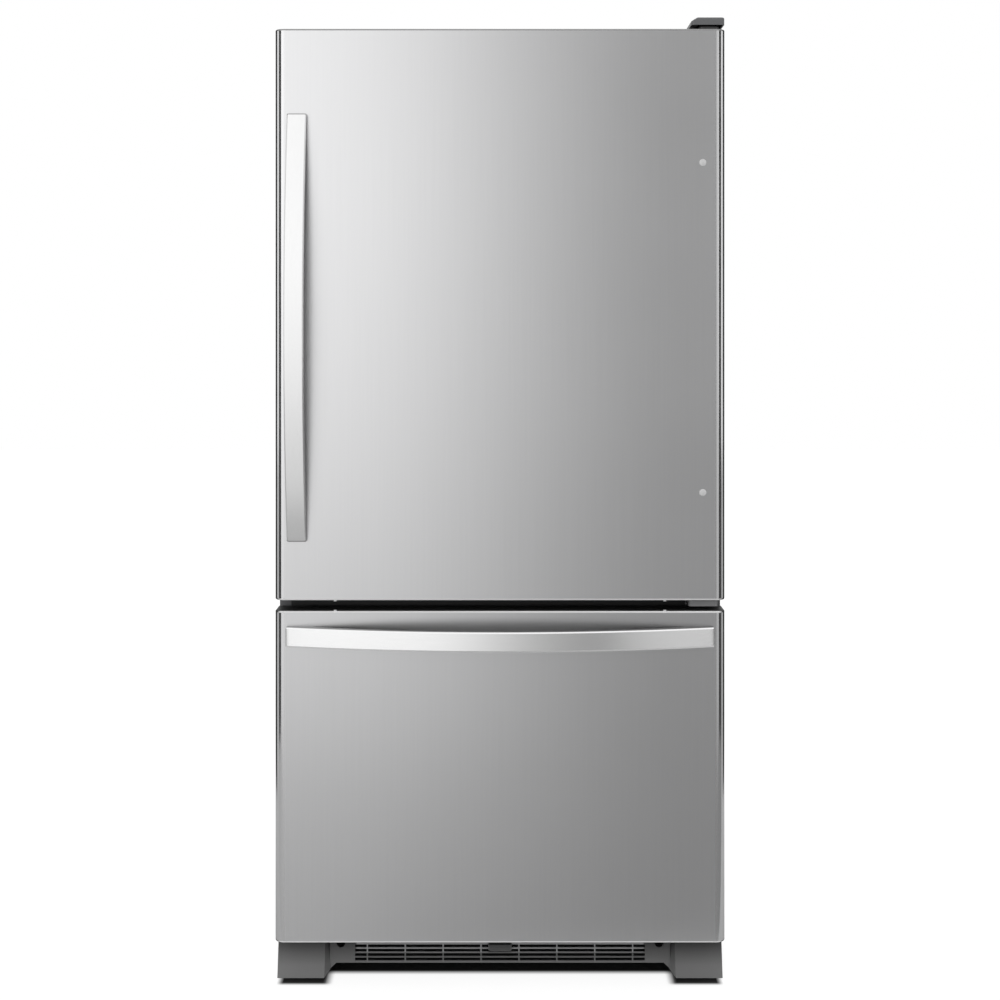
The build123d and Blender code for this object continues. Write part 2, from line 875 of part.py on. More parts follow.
# Freezer door
save(door_skin(freezer_door_bottom, freezer_door_height), "freezer_door_skin")
save(door_caps(freezer_door_bottom, freezer_door_height, False, True), "freezer_door_caps")
save(door_foam(freezer_door_bottom, freezer_door_height), "freezer_door_foam")
save(
    door_liner(
        freezer_door_bottom + cap_edge,
        freezer_door_top - cap_edge,
        freezer_dyke_low,
        freezer_dyke_high,
        freezer_dyke_gap,
        freezer_dyke_reach,
    ),
    "freezer_door_liner",
)
save(gasket(freezer_seal_low, freezer_seal_high), "freezer_door_gasket")
freezer_handle_z = freezer_door_top - freezer_handle_drop
save(
    handle(
        (-freezer_handle_length / 2, door_front, freezer_handle_z),
        (1, 0, 0),
        (0, 0, -1),
        freezer_handle_length,
    ),
    "freezer_handle",
)

# ---------------------------------------------------------------- what the upper door carries
bin_half = inner_half - dyke_side_gap - dyke_width - seat
bin_back = door_back + seat


def tray(low, high, wall, corner):
    """An open box with rounded upright corners, to be filled from above."""
    with BuildPart() as box:
        block(low, high)
        fillet(box.edges().filter_by(Axis.Z), corner)
        offset(amount=-wall, openings=box.faces().sort_by(Axis.Z)[-1])
    return box.part


with BuildPart() as door_bins:
    for level in bin_levels:
        low = (-bin_half, bin_back, fridge_floor + level)
        high = (bin_half, bin_back + bin_depth, fridge_floor + level + bin_height)
        add(tray(low, high, moulded, bin_corner))
save(door_bins, "door_bins")

# Dairy box: a closed corner of the door with a clear lid that lifts.
dairy_top = dairy_low + dairy_height
dairy_left = -bin_half
dairy_right = dairy_left + dairy_width
dairy_front = bin_back + dairy_depth
lid_axis_y = bin_back + moulded + lid_barrel + 1
lid_axis_z = dairy_top - lid_barrel - lid_drop
with BuildPart() as dairy_box:
    block((dairy_left, bin_back, dairy_low), (dairy_right, dairy_front, dairy_top))
    block(
        (dairy_left + moulded, bin_back + moulded, dairy_low + moulded),
        (dairy_right - moulded, dairy_front - moulded, dairy_top + over),
        mode=Mode.SUBTRACT,
    )
    block(
        (dairy_left + moulded, dairy_front - moulded - over, dairy_low + dairy_lip),
        (dairy_right - moulded, dairy_front + over, dairy_top + over),
        mode=Mode.SUBTRACT,
    )
    rod(
        (dairy_left - over, lid_axis_y, lid_axis_z),
        (1, 0, 0),
        lid_pin + pin_clearance,
        dairy_width + 2 * over,
        mode=Mode.SUBTRACT,
    )
save(dairy_box, "dairy_box")

with BuildPart() as dairy_lid:
    low_x = dairy_left + moulded + gap
    high_x = dairy_right - moulded - gap
    block(
        (low_x, lid_axis_y, lid_axis_z + lid_barrel - moulded),
        (high_x, dairy_front, lid_axis_z + lid_barrel),
    )
    block(
        (low_x, dairy_front - moulded, dairy_low + dairy_lip + over),
        (high_x, dairy_front, lid_axis_z + lid_barrel),
    )
    fillet(dairy_lid.edges().filter_by(Axis.X).sort_by(SortBy.DISTANCE)[-1], lid_round)
    rod((low_x, lid_axis_y, lid_axis_z), (1, 0, 0), lid_barrel, high_x - low_x)
    rod(
        (dairy_left + gap, lid_axis_y, lid_axis_z),
        (1, 0, 0),
        lid_pin,
        dairy_width - 2 * gap,
    )
save(dairy_lid, "dairy_lid")

# ---------------------------------------------------------------- inside of the upper compartment
track_face = inner_back - track_depth
with BuildPart() as shelf_tracks:
    low_z = fridge_floor + track_start
    high_z = fridge_ceiling - track_top_gap
    for x in (-track_x, track_x):
        block((x - track_width / 2, track_face, low_z), (x + track_width / 2, inner_back, high_z))
    slots = int((high_z - low_z - track_pitch) / track_pitch)
    with Locations((0, track_face, (low_z + high_z) / 2)):
        with GridLocations(2 * track_x, 0, 2, 1):
            with Locations(*[(0, 0, (i - (slots - 1) / 2) * track_pitch) for i in range(slots)]):
                Box(track_slot_width, track_depth, track_slot_height, mode=Mode.SUBTRACT)
save(shelf_tracks, "shelf_tracks")


def shelf_rim(low, high, side_width, hooks):
    """Plastic rim of a glass shelf: a frame with a rebate for the glass, hung on the tracks."""
    with BuildPart() as rim:
        block(low, high)
        fillet(rim.edges().filter_by(Axis.Z), rim_corner)
        block(
            (low[0] + rim_lip, low[1] + rim_lip, high[2] - glass_thick),
            (high[0] - rim_lip, high[1] - rim_lip, high[2] + over),
            mode=Mode.SUBTRACT,
        )
        block(
            (low[0] + side_width, low[1] + rim_width, low[2] - over),
            (high[0] - side_width, high[1] - rim_width, high[2]),
            mode=Mode.SUBTRACT,
        )
        if hooks:
            for x in (-track_x, track_x):
                block((x - hook_half, high[1], low[2]), (x + hook_half, track_face, high[2]))
    return rim.part


shelf_half = inner_half - shelf_side_gap
shelf_front = inner_back - track_depth - shelf_depth
with BuildPart() as shelf_frames:
    for level in shelf_levels:
        z = fridge_floor + level
        low = (-shelf_half, shelf_front, z - rim_height)
        add(shelf_rim(low, (shelf_half, track_face - shelf_hook, z), rim_width, True))
save(shelf_frames, "shelf_frames")

cover_y = crisper_front + crisper_cover_setback
with BuildPart() as shelf_glasses:
    for level in shelf_levels:
        z = fridge_floor + level
        block(
            (-shelf_half + rim_lip + seat, shelf_front + rim_lip + seat, z - glass_thick),
            (shelf_half - rim_lip - seat, track_face - shelf_hook - rim_lip - seat, z),
        )
    cover_glass_top = crisper_roof + rim_height
    glass_half = inner_half - rim_lip - 2 * seat
    block(
        (-glass_half, cover_y + rim_lip + seat, cover_glass_top - glass_thick),
        (glass_half, inner_back - rim_lip - 2 * seat, cover_glass_top),
    )
save(shelf_glasses, "shelf_glasses")

# Cover over the crispers; ledges below it carry their side lips.
lip_top = crisper_roof - lip_drop
ledge_low = lip_top - moulded - seat - moulded
crisper_spans = [
    (-crisper_reach, -crisper_middle),
    (crisper_middle, crisper_reach),
]
with BuildPart() as crisper_cover:
    add(
        shelf_rim(
            (-inner_half + seat, cover_y, crisper_roof),
            (inner_half - seat, inner_back - seat, crisper_roof + rim_height),
            inner_half - crisper_reach - lip_width + ledge_reach,
            False,
        )
    )
    for x in (-crisper_reach - lip_width - gap - moulded, crisper_reach + lip_width + gap):
        block((x, cover_y, ledge_low), (x + moulded, crisper_back, crisper_roof))
    block((-middle_web / 2, cover_y, ledge_low), (middle_web / 2, crisper_back, crisper_roof))
    block(
        (-rim_width, cover_y, crisper_roof),
        (rim_width, inner_back - rim_width, crisper_roof + moulded),
    )
    outer_ledge = crisper_reach + lip_width - ledge_reach
    middle_ledge = crisper_middle - lip_width + ledge_reach
    for x0, x1 in (
        (-crisper_reach - lip_width - gap, -outer_ledge),
        (-middle_ledge, middle_ledge),
        (outer_ledge, crisper_reach + lip_width + gap),
    ):
        block((x0, cover_y, ledge_low), (x1, crisper_back, ledge_low + moulded))
    block(
        (slider_x - slider_half, cover_y - over, slider_z - slider_slot / 2),
        (slider_x + slider_travel + slider_half, cover_y + slider_depth, slider_z + slider_slot / 2),
        mode=Mode.SUBTRACT,
    )
save(crisper_cover, "crisper_cover")

with BuildPart() as humidity_slider:
    block(
        (slider_x - slider_half + seat, cover_y - seat, slider_z - slider_slot / 2 + seat),
        (slider_x + slider_half - seat, cover_y + slider_depth - seat, slider_z + slider_slot / 2 - seat),
    )
    block(
        (slider_x - slider_knob, cover_y - seat - slider_depth, slider_z - slider_knob / 2),
        (slider_x + slider_knob, cover_y - seat, slider_z + slider_knob / 2),
    )
    fillet(humidity_slider.faces().sort_by(Axis.Y)[0].edges(), knob_round)
save(humidity_slider, "humidity_slider")

for name, (low_x, high_x) in zip(("crisper_left", "crisper_right"), crisper_spans):
    floor_z = fridge_floor + crisper_lift
    with BuildPart() as crisper:
        high = (high_x, crisper_back - crisper_cover_setback, lip_top)
        add(tray((low_x, crisper_front, floor_z), high, moulded, crisper_corner))
        for x0, x1 in ((low_x - lip_width, low_x), (high_x, high_x + lip_width)):
            block(
                (x0, crisper_front + crisper_lip_end, lip_top - moulded),
                (x1, crisper_back - crisper_lip_end, lip_top),
            )
        block(
            (low_x + crisper_middle, crisper_front - crisper_pull, lip_top - pull_drop - pull_thick),
            (high_x - crisper_middle, crisper_front, lip_top - pull_drop),
        )
    save(crisper, name)

# Control box under the ceiling with its dial, and the lens of the lamp behind it.
control_low = fridge_ceiling - control_height
dial_z = fridge_ceiling - control_height / 2
with BuildPart() as control_housing:
    block((-control_half, control_front, control_low), (control_half, control_back, fridge_ceiling))
    fillet(control_housing.edges().filter_by(Axis.Z).sort_by(Axis.Y)[:2], control_corner)
    lower_edges = control_housing.edges().filter_by(Axis.X).sort_by(Axis.Z)[:2]
    fillet(lower_edges.sort_by(Axis.Y)[0], control_round)
    block(
        (-control_half + control_wall, control_front + control_wall, control_low + control_wall),
        (control_half - control_wall, control_back + over, fridge_ceiling + over),
        mode=Mode.SUBTRACT,
    )
    rod(
        (dial_x, control_front - over, dial_z),
        (0, 1, 0),
        dial_shaft + pin_clearance,
        control_wall + 2 * over,
        mode=Mode.SUBTRACT,
    )
save(control_housing, "control_housing")

dial_face = control_front - seat - dial_depth
with BuildPart() as temperature_dial:
    rod((dial_x, control_front - seat, dial_z), (0, -1, 0), dial_radius, dial_depth)
    rod((dial_x, control_front - seat, dial_z), (0, 1, 0), dial_shaft, dial_shaft_length)
    fillet(temperature_dial.edges().filter_by(GeomType.CIRCLE).sort_by(Axis.Y)[0], dial_round)
    block(
        (dial_x - grip_half, dial_face - grip_rise, dial_z - dial_radius + grip_end),
        (dial_x + grip_half, dial_face, dial_z + dial_radius - grip_end),
    )
save(temperature_dial, "temperature_dial")

with BuildPart() as light_lens:
    block(
        (-lens_half, control_back, fridge_ceiling - lens_height),
        (lens_half, control_back + lens_length, fridge_ceiling),
    )
    fillet(light_lens.faces().sort_by(Axis.Z)[0].edges().sort_by(Axis.Y)[-1], lens_corner)
    block(
        (-lens_half + lens_wall, control_back - over, fridge_ceiling - lens_height + lens_wall),
        (lens_half - lens_wall, control_back + lens_length - lens_wall, fridge_ceiling + over),
        mode=Mode.SUBTRACT,
    )
save(light_lens, "light_lens")

# ---------------------------------------------------------------- freezer drawer
rail_top = rail_low + rail_height
rail_mid = rail_low + rail_height / 2
fixed_outer = inner_half
middle_outer = fixed_outer - rail_thick - gap
drawer_outer = middle_outer - rail_thick - gap


def slide_members(outer_x, low_y, high_y, shrink, grooved, beaded):
    """A pair of telescopic rail members, each a bar with a groove that the next one's bead runs in."""
    with BuildPart() as members:
        for side in (-1, 1):
            xs = sorted((side * outer_x, side * (outer_x - rail_thick)))
            block((xs[0], low_y, rail_low + shrink), (xs[1], high_y, rail_top - shrink))
            if grooved:
                inner_face = side * (outer_x - rail_thick)
                groove = sorted((inner_face - side * over, inner_face + side * rail_thick / 3))
                block(
                    (groove[0], low_y - over, rail_mid - rail_groove / 2),
                    (groove[1], high_y + over, rail_mid + rail_groove / 2),
                    mode=Mode.SUBTRACT,
                )
            if beaded:
                bead = sorted((side * (outer_x - over), side * (outer_x + rail_thick / 3)))
                block(
                    (bead[0], low_y, rail_mid - rail_bead / 2),
                    (bead[1], high_y, rail_mid + rail_bead / 2),
                )
    return members


save(slide_members(fixed_outer, rail_front, rail_back, 0, True, False), "freezer_slide_rails")
middle_back = rail_back - rail_stagger
save(
    slide_members(middle_outer, rail_front, middle_back, rail_shrink, True, True),
    "freezer_slide_middles",
)
with BuildPart() as freezer_drawer_rails:
    drawer_rail_back = middle_back - rail_stagger
    add(slide_members(drawer_outer, door_back, drawer_rail_back, rail_shrink, False, True).part)
    for side in (-1, 1):
        xs = sorted((side * drawer_outer, side * (drawer_outer - rail_thick)))
        block(
            (xs[0], door_back, rail_low - rail_hook),
            (xs[1], rail_front - gap, rail_low + rail_thick),
        )
        nose = sorted((side * (drawer_outer), side * (drawer_outer + rail_thick / 2)))
        block(
            (nose[0], door_back - over, rail_low),
            (nose[1], rail_front - gap, rail_top),
            mode=Mode.SUBTRACT,
        )
save(freezer_drawer_rails, "freezer_drawer_rails")

# Deep basket that hangs on the drawer's rails by its side lips.
basket_half = drawer_outer - rail_thick - basket_side_gap
basket_front = front + freezer_dyke_reach + seat
basket_back = step_back - basket_back_gap
rail_seat = rail_top - rail_shrink
with BuildPart() as freezer_basket:
    add(
        tray(
            (-basket_half, basket_front, freezer_floor + basket_lift),
            (basket_half, basket_back, rail_seat + moulded),
            moulded,
            basket_corner,
        )
    )
    for x0, x1 in (
        (-drawer_outer + basket_lip_gap, -basket_half),
        (basket_half, drawer_outer - basket_lip_gap),
    ):
        block(
            (x0, basket_front + basket_corner, rail_seat),
            (x1, drawer_rail_back - basket_side_gap, rail_seat + moulded),
        )
save(freezer_basket, "freezer_basket")

tray_low = rail_seat + moulded + seat
with BuildPart() as freezer_tray:
    add(
        tray(
            (-basket_half + moulded, basket_front + tray_setback, tray_low),
            (basket_half - moulded, basket_front + tray_length, tray_low + tray_height),
            moulded,
            basket_corner,
        )
    )
    for x0, x1 in (
        (-drawer_outer + tray_lip_gap, -basket_half + moulded),
        (basket_half - moulded, drawer_outer - tray_lip_gap),
    ):
        block(
            (x0, basket_front + tray_setback + tray_lip_end, tray_low),
            (x1, basket_front + tray_length - tray_lip_end, tray_low + moulded),
        )
save(freezer_tray, "freezer_tray")

# ---------------------------------------------------------------- cold side at the back of the freezer
cover_face = inner_back - evaporator_room
fan_z = freezer_ceiling - evaporator_fan_radius - evaporator_fan_drop
with BuildPart() as evaporator_cover:
    block(
        (-inner_half + seat, cover_face - moulded, step_top + seat),
        (inner_half - seat, cover_face, freezer_ceiling - seat),
    )
    rod(
        (0, cover_face - moulded - over, fan_z),
        (0, 1, 0),
        evaporator_fan_radius + fan_ring_gap,
        moulded + 2 * over,
        mode=Mode.SUBTRACT,
    )
    for angle in range(0, 180, 45):
        with Locations(Plane(origin=(0, cover_face - moulded / 2, fan_z), z_dir=(0, 1, 0))):
            guard_length = 2 * (evaporator_fan_radius + guard_overlap)
            Box(guard_length, guard_bar, moulded, rotation=(0, 0, angle))
    with Locations((0, cover_face, step_top + outlet_rise)):
        with GridLocations(outlet_pitch, 0, outlet_count, 1):
            Box(outlet_width, 2 * (moulded + over), outlet_height, mode=Mode.SUBTRACT)
save(evaporator_cover, "evaporator_cover")

with BuildPart() as evaporator:
    low_y = cover_face + evaporator_front_gap
    high_y = inner_back - evaporator_back_gap
    low_z = step_top + seat
    high_z = low_z + evaporator_height
    for row in range(3):
        for y in (low_y + evaporator_tube_inset, high_y - evaporator_tube_inset):
            rod(
                (-evaporator_half, y, low_z + evaporator_tube_first + row * evaporator_tube_pitch),
                (1, 0, 0),
                tube_radius,
                2 * evaporator_half,
            )
    fins = int(2 * evaporator_half / fin_pitch)
    for i in range(fins):
        x = (i - (fins - 1) / 2) * fin_pitch
        block((x - fin_thick / 2, low_y, low_z), (x + fin_thick / 2, high_y, high_z))
save(evaporator, "evaporator")


def fan(center, axis, radius, name):
    """Five-bladed axial fan whose hub turns on a fixed shaft."""
    hub = radius * hub_share
    with BuildPart() as blades:
        with Locations(Plane(origin=center, z_dir=axis)):
            Cylinder(hub, fan_depth)
            with PolarLocations((hub + radius) / 2, blade_count):
                blade = (radius - hub + 2 * over, blade_thick, fan_depth + 2 * over)
                Box(*blade, rotation=(blade_angle, 0, 0))
            Cylinder(radius, fan_depth, mode=Mode.INTERSECT)
            Cylinder(shaft_radius + pin_clearance, fan_depth + 2 * over, mode=Mode.SUBTRACT)
    save(blades, name)


evaporator_fan_y = cover_face + evaporator_fan_back
fan((0, evaporator_fan_y, fan_z), (0, 1, 0), evaporator_fan_radius, "evaporator_fan")
condenser_fan_x = condenser_left - condenser_fan_gap
condenser_y = (machine_front + rear) / 2
condenser_z = case_bottom + sheet + pan_wall + condenser_height / 2
fan(
    (condenser_fan_x, condenser_y, condenser_z), (1, 0, 0), condenser_fan_radius, "condenser_fan"
)

# The two fan motors, each with its shaft and the bracket that holds it.
with BuildPart() as fan_motors:
    motor_y = evaporator_fan_y + fan_depth / 2 + fan_gap
    bar_y = inner_back - motor_bar_thick
    rod((0, motor_y, fan_z), (0, 1, 0), motor_radius, bar_y - motor_y)
    rod((0, evaporator_fan_y - fan_depth / 2, fan_z), (0, 1, 0), shaft_radius, fan_depth + 2 * fan_gap)
    block(
        (-motor_bar_half, bar_y, fan_z - motor_bar_height / 2),
        (motor_bar_half, inner_back, fan_z + motor_bar_height / 2),
    )
    motor_x = condenser_fan_x - fan_depth / 2 - fan_gap
    rod((motor_x, condenser_y, condenser_z), (-1, 0, 0), motor_radius, motor_length)
    shaft_length = fan_depth + 2 * fan_gap
    rod((motor_x - fan_gap, condenser_y, condenser_z), (1, 0, 0), shaft_radius, shaft_length)
    angle_x = motor_x - motor_length
    angle_low = case_bottom + sheet
    angle_half = motor_foot_width / 2
    for x0, z1 in ((angle_x, condenser_z), (angle_x - motor_foot_length, angle_low + motor_foot_thick)):
        block(
            (x0, condenser_y - angle_half, angle_low),
            (angle_x + motor_foot_thick, condenser_y + angle_half, z1),
        )
save(fan_motors, "fan_motors")

# ---------------------------------------------------------------- machine compartment
deck_top = case_bottom + sheet
with BuildPart() as drip_pan:
    add(
        tray(
            (condenser_left - pan_side_gap, machine_front + pan_front_gap, deck_top),
            (condenser_right + pan_side_gap, rear - pan_back_gap, deck_top + pan_height),
            pan_wall,
            pan_corner,
        )
    )
save(drip_pan, "drip_pan")

with BuildPart() as condenser:
    low_z = deck_top + pan_wall
    fins = int(condenser_depth / fin_pitch)
    for i in range(fins):
        y = condenser_y + (i - (fins - 1) / 2) * fin_pitch
        block(
            (condenser_left, y - fin_thick / 2, low_z),
            (condenser_right, y + fin_thick / 2, low_z + condenser_height),
        )
    condenser_mid = (condenser_left + condenser_right) / 2
    tube_side = condenser_length / 2 - condenser_tube_side
    first_z = low_z + condenser_tube_first
    for row in range(4):
        for x in (condenser_mid - tube_side, condenser_mid, condenser_mid + tube_side):
            rod(
                (x, condenser_y - condenser_depth / 2, first_z + row * condenser_tube_pitch),
                (0, 1, 0),
                tube_radius,
                condenser_depth,
            )
save(condenser, "condenser")

with BuildPart() as compressor:
    plate_low = deck_top + grommet_height + grommet_lip
    pot_low = plate_low + foot_plate_thick
    block(
        (compressor_x - foot_plate_length / 2, condenser_y - foot_plate_depth / 2, plate_low),
        (compressor_x + foot_plate_length / 2, condenser_y + foot_plate_depth / 2, pot_low),
    )
    rod((compressor_x, condenser_y, pot_low), (0, 0, 1), compressor_radius, compressor_height)
    pot_rims = compressor.edges().filter_by(GeomType.CIRCLE).sort_by(Axis.Z)
    fillet(pot_rims[-1], compressor_dome)
    pot_side = compressor_x + compressor_radius
    block(
        (pot_side - terminal_sink, condenser_y - terminal_half, deck_top + terminal_low),
        (pot_side + terminal_reach, condenser_y + terminal_half, deck_top + terminal_high),
    )
    pipe_low = deck_top + compressor_height - pipe_sink
    rod((compressor_x, condenser_y - pipe_setback, pipe_low), (0, 0, 1), tube_radius, pipe_length)
    with Locations((compressor_x, condenser_y, deck_top + grommet_height)):
        with GridLocations(foot_pitch_x, foot_pitch_y, 2, 2):
            Cylinder(grommet_pin + gap, grommet_hole_depth, mode=Mode.SUBTRACT)
save(compressor, "compressor")

gland_at = (machine_gland_x, machine_gland_z)
cover_back = rear - cover_recess
cover_screws = [
    (x, z)
    for x in (-half + cover_screw_side, 0, half - cover_screw_side)
    for z in (case_bottom + cover_screw_end, machine_top - cover_screw_end)
]
vent_places = (compressor_x, (condenser_left + condenser_right) / 2)
with BuildPart() as machine_cover:
    block(
        (-half + sheet, cover_back - sheet, case_bottom + sheet),
        (half - sheet, cover_back, machine_top),
    )
    with Locations(*[(x, cover_back, (case_bottom + machine_top) / 2) for x in vent_places]):
        with GridLocations(vent_pitch, 0, vent_count, 1):
            Box(vent_width, 2 * (sheet + over), vent_height, mode=Mode.SUBTRACT)
    cover_holes = [(x, z, screw_radius / 2 + gap) for x, z in cover_screws]
    for x, z, radius in (*cover_holes, (*gland_at, gland_radius)):
        start = (x, cover_back - sheet - over, z)
        rod(start, (0, 1, 0), radius, sheet + 2 * over, mode=Mode.SUBTRACT)
save(machine_cover, "machine_cover")

# Rubber grommets: four under the compressor, and the gland where the supply lead leaves.
with BuildPart() as grommets:
    with Locations((compressor_x, condenser_y, deck_top)):
        with GridLocations(foot_pitch_x, foot_pitch_y, 2, 2):
            upright = (Align.CENTER, Align.CENTER, Align.MIN)
            Cylinder(grommet_radius, grommet_height + grommet_lip, align=upright)
            Cylinder(grommet_pin, grommet_height + grommet_pin_rise, align=upright)
    gland_x, gland_z = gland_at
    gland_start = cover_back - gland_length
    flange_length = cover_recess - gap
    rod((gland_x, gland_start, gland_z), (0, 1, 0), gland_radius - gland_play, gland_length)
    rod((gland_x, cover_back, gland_z), (0, 1, 0), gland_radius + gland_flange, flange_length)
    bore_length = gland_length + cover_recess + 2 * over
    bore_start = (gland_x, gland_start - over, gland_z)
    rod(bore_start, (0, 1, 0), gland_bore, bore_length, mode=Mode.SUBTRACT)
save(grommets, "grommets")

with BuildPart() as screws:
    for x, y in top_bracket_screws:
        rod((x, y, case_top), (0, 0, 1), screw_radius, leaf_thickness)
        rod((x, y, case_top + leaf_thickness), (0, 0, 1), screw_head_radius, screw_head_height)
    for x, z in cover_screws:
        rod((x, cover_back, z), (0, 1, 0), cover_head_radius, cover_recess - gap)
        rod((x, cover_back, z), (0, -1, 0), screw_radius / 2, sheet + over)
save(screws, "screws")

# ---------------------------------------------------------------- base
grille_face = door_front + grille_setback
grille_high = freezer_door_bottom - grille_top_gap
slot_rows = 4
slot_half = access_x - access_radius - slot_margin


def foot_cover(side):
    """Hollow cover over a front corner: its face slants forward and its inner edges are sloped."""
    with BuildPart() as foot:
        with BuildSketch(Plane.YZ.offset(side * foot_inner)):
            with BuildLine():
                Polyline(
                    (door_front + foot_setback, foot_clearance),
                    (grille_face, grille_high),
                    (front, grille_high),
                    (front, case_bottom - side_drop),
                    (front + foot_back, case_bottom - side_drop),
                    (front + foot_back, foot_clearance),
                    close=True,
                )
            make_face()
        extrude(amount=side * foot_width)
        inner_edges = foot.edges().filter_by(Axis.X, reverse=True).sort_by(Axis.X, reverse=side < 0)[:6]
        inner_front = inner_edges.sort_by(Axis.Y)[0]
        chamfer(inner_front, length=foot_flank, length2=foot_slope)
        low_edges = foot.edges().filter_by(Axis.Y).sort_by(Axis.Z)[:2]
        chamfer(low_edges.sort_by(Axis.X, reverse=side < 0)[0], length=foot_cut)
        outer = sorted((side * (foot_inner + foot_slope + grille_wall), side * (half - grille_wall)))
        block(
            (outer[0], grille_face + grille_wall, -over),
            (outer[1], front + foot_back + over, grille_high - grille_wall),
            mode=Mode.SUBTRACT,
        )
    return foot.part


with BuildPart() as base_grille:
    for side in (-1, 1):
        add(foot_cover(side))
    span = foot_inner + 2 * over
    with BuildSketch(Plane.XZ.offset(-grille_face)):
        with BuildLine():
            Polyline(
                (-foot_inner + foot_sweep, grille_low),
                (foot_inner - foot_sweep, grille_low),
                (foot_inner, foot_clearance + foot_cut),
                (span, foot_clearance + foot_cut),
                (span, grille_high),
                (-span, grille_high),
                (-span, foot_clearance + foot_cut),
                (-foot_inner, foot_clearance + foot_cut),
                close=True,
            )
        make_face()
    extrude(amount=-grille_wall)
    block((-span, grille_face, grille_high - grille_wall), (span, front, grille_high))
    with BuildPart(mode=Mode.PRIVATE) as slots:
        field_z = grille_low + grille_sill + (slot_rows - 1) / 2 * bar_pitch + slot_height / 2
        with Locations((0, grille_face, field_z)):
            with Locations(*[(0, 0, (i - (slot_rows - 1) / 2) * bar_pitch) for i in range(slot_rows)]):
                Box(2 * slot_half, 4 * grille_wall, slot_height)
            with GridLocations(slot_pitch, 0, 2 * round(slot_half / slot_pitch), 1):
                Box(rib_width, 4 * grille_wall, slot_rows * bar_pitch, mode=Mode.SUBTRACT)
    add(slots.part, mode=Mode.SUBTRACT)
    for x in (-access_x, access_x):
        start = (x, grille_face - over, access_z)
        rod(start, (0, 1, 0), access_radius, grille_wall + 2 * over, mode=Mode.SUBTRACT)
    with BuildPart(mode=Mode.PRIVATE) as scoop:
        block(
            (-scoop_width / 2, grille_face - scoop_reach, scoop_low),
            (scoop_width / 2, grille_face + grille_wall / 2, scoop_low + scoop_height),
        )
        fillet(scoop.edges().filter_by(Axis.Y).sort_by(Axis.Z)[:2], scoop_corner)
        fillet(scoop.faces().sort_by(Axis.Y)[0].edges(), scoop_reach / 3)
    add(scoop.part)
save(base_grille, "base_grille")

# Steel brackets under the deck: the front pair holds the levelling legs, the rear pair the rollers.
leg_bore = leg_radius + pin_clearance
with BuildPart() as base_brackets:
    for side in (-1, 1):
        x = side * leg_x
        block(
            (x - bracket_half, leg_y - bracket_half, case_bottom - bracket_height),
            (x + bracket_half, leg_y + bracket_tail, case_bottom),
        )
        rod((x, leg_y, 0), (0, 0, 1), leg_bore, case_bottom + over, mode=Mode.SUBTRACT)
    for side in (-1, 1):
        x = side * roller_x
        for cheek in (-1, 1):
            low_x = x + cheek * (roller_width / 2 + gap + cheek_thick / 2) - cheek_thick / 2
            block(
                (low_x, roller_y - cheek_half, roller_radius - cheek_drop),
                (low_x + cheek_thick, roller_y + cheek_half, case_bottom),
            )
        block(
            (x - roller_width / 2 - gap - cheek_thick, roller_y - base_half, case_bottom - cheek_thick),
            (x + roller_width / 2 + gap + cheek_thick, roller_y + base_half, case_bottom),
        )
        rod(
            (x - roller_width / 2 - gap - cheek_thick, roller_y, roller_radius),
            (1, 0, 0),
            axle_radius,
            roller_width + 2 * (gap + cheek_thick),
        )
save(base_brackets, "base_brackets")

for name, side in (("leg_left", -1), ("leg_right", 1)):
    with BuildPart() as leg:
        rod((side * leg_x, leg_y, 0), (0, 0, 1), leg_foot_radius, leg_foot_height)
        fillet(leg.edges().filter_by(GeomType.CIRCLE).sort_by(Axis.Z)[-1], leg_foot_round)
        rod((side * leg_x, leg_y, 0), (0, 0, 1), leg_radius, case_bottom - seat)
    save(leg, name)

for name, side in (("roller_left", -1), ("roller_right", 1)):
    with BuildPart() as roller:
        start = (side * roller_x - roller_width / 2, roller_y, roller_radius)
        rod(start, (1, 0, 0), roller_radius, roller_width)
        fillet(roller.edges().filter_by(GeomType.CIRCLE), roller_round)
        rod(start, (1, 0, 0), axle_radius + pin_clearance, roller_width, mode=Mode.SUBTRACT)
    save(roller, name)
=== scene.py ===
# %% [markdown]
# # Bottom freezer refrigerator
# The part is a tall steel cabinet with a hinged door above and a drawer below. Its joints,
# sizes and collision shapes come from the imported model, which is loaded here as a fixed frame.
# This script dresses that frame: it gives each node a finish, and where a moulding, a bar or a
# seal needs a softer shape than the frame has, it builds the piece again in mesh code.

import json
import math

import bmesh
import bpy
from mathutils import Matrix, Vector


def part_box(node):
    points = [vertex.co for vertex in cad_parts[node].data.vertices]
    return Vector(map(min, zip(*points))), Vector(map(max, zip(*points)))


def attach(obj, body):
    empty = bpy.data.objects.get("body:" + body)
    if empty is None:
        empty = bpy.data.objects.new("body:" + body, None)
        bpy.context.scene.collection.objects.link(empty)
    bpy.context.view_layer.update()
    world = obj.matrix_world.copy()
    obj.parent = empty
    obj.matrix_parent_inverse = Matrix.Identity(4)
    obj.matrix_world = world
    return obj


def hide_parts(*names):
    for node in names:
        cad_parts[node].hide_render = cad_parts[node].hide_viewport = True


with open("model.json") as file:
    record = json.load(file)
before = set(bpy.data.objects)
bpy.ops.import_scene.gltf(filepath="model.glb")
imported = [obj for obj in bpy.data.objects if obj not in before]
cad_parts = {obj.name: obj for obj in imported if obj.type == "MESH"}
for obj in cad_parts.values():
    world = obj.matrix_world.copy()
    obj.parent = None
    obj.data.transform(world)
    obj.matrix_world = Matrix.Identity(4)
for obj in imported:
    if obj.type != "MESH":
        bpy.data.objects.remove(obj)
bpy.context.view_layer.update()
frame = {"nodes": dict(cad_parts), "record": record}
record = frame["record"]
slot_of = {row["node"]: row["material_slot"] for row in record["subparts"]}
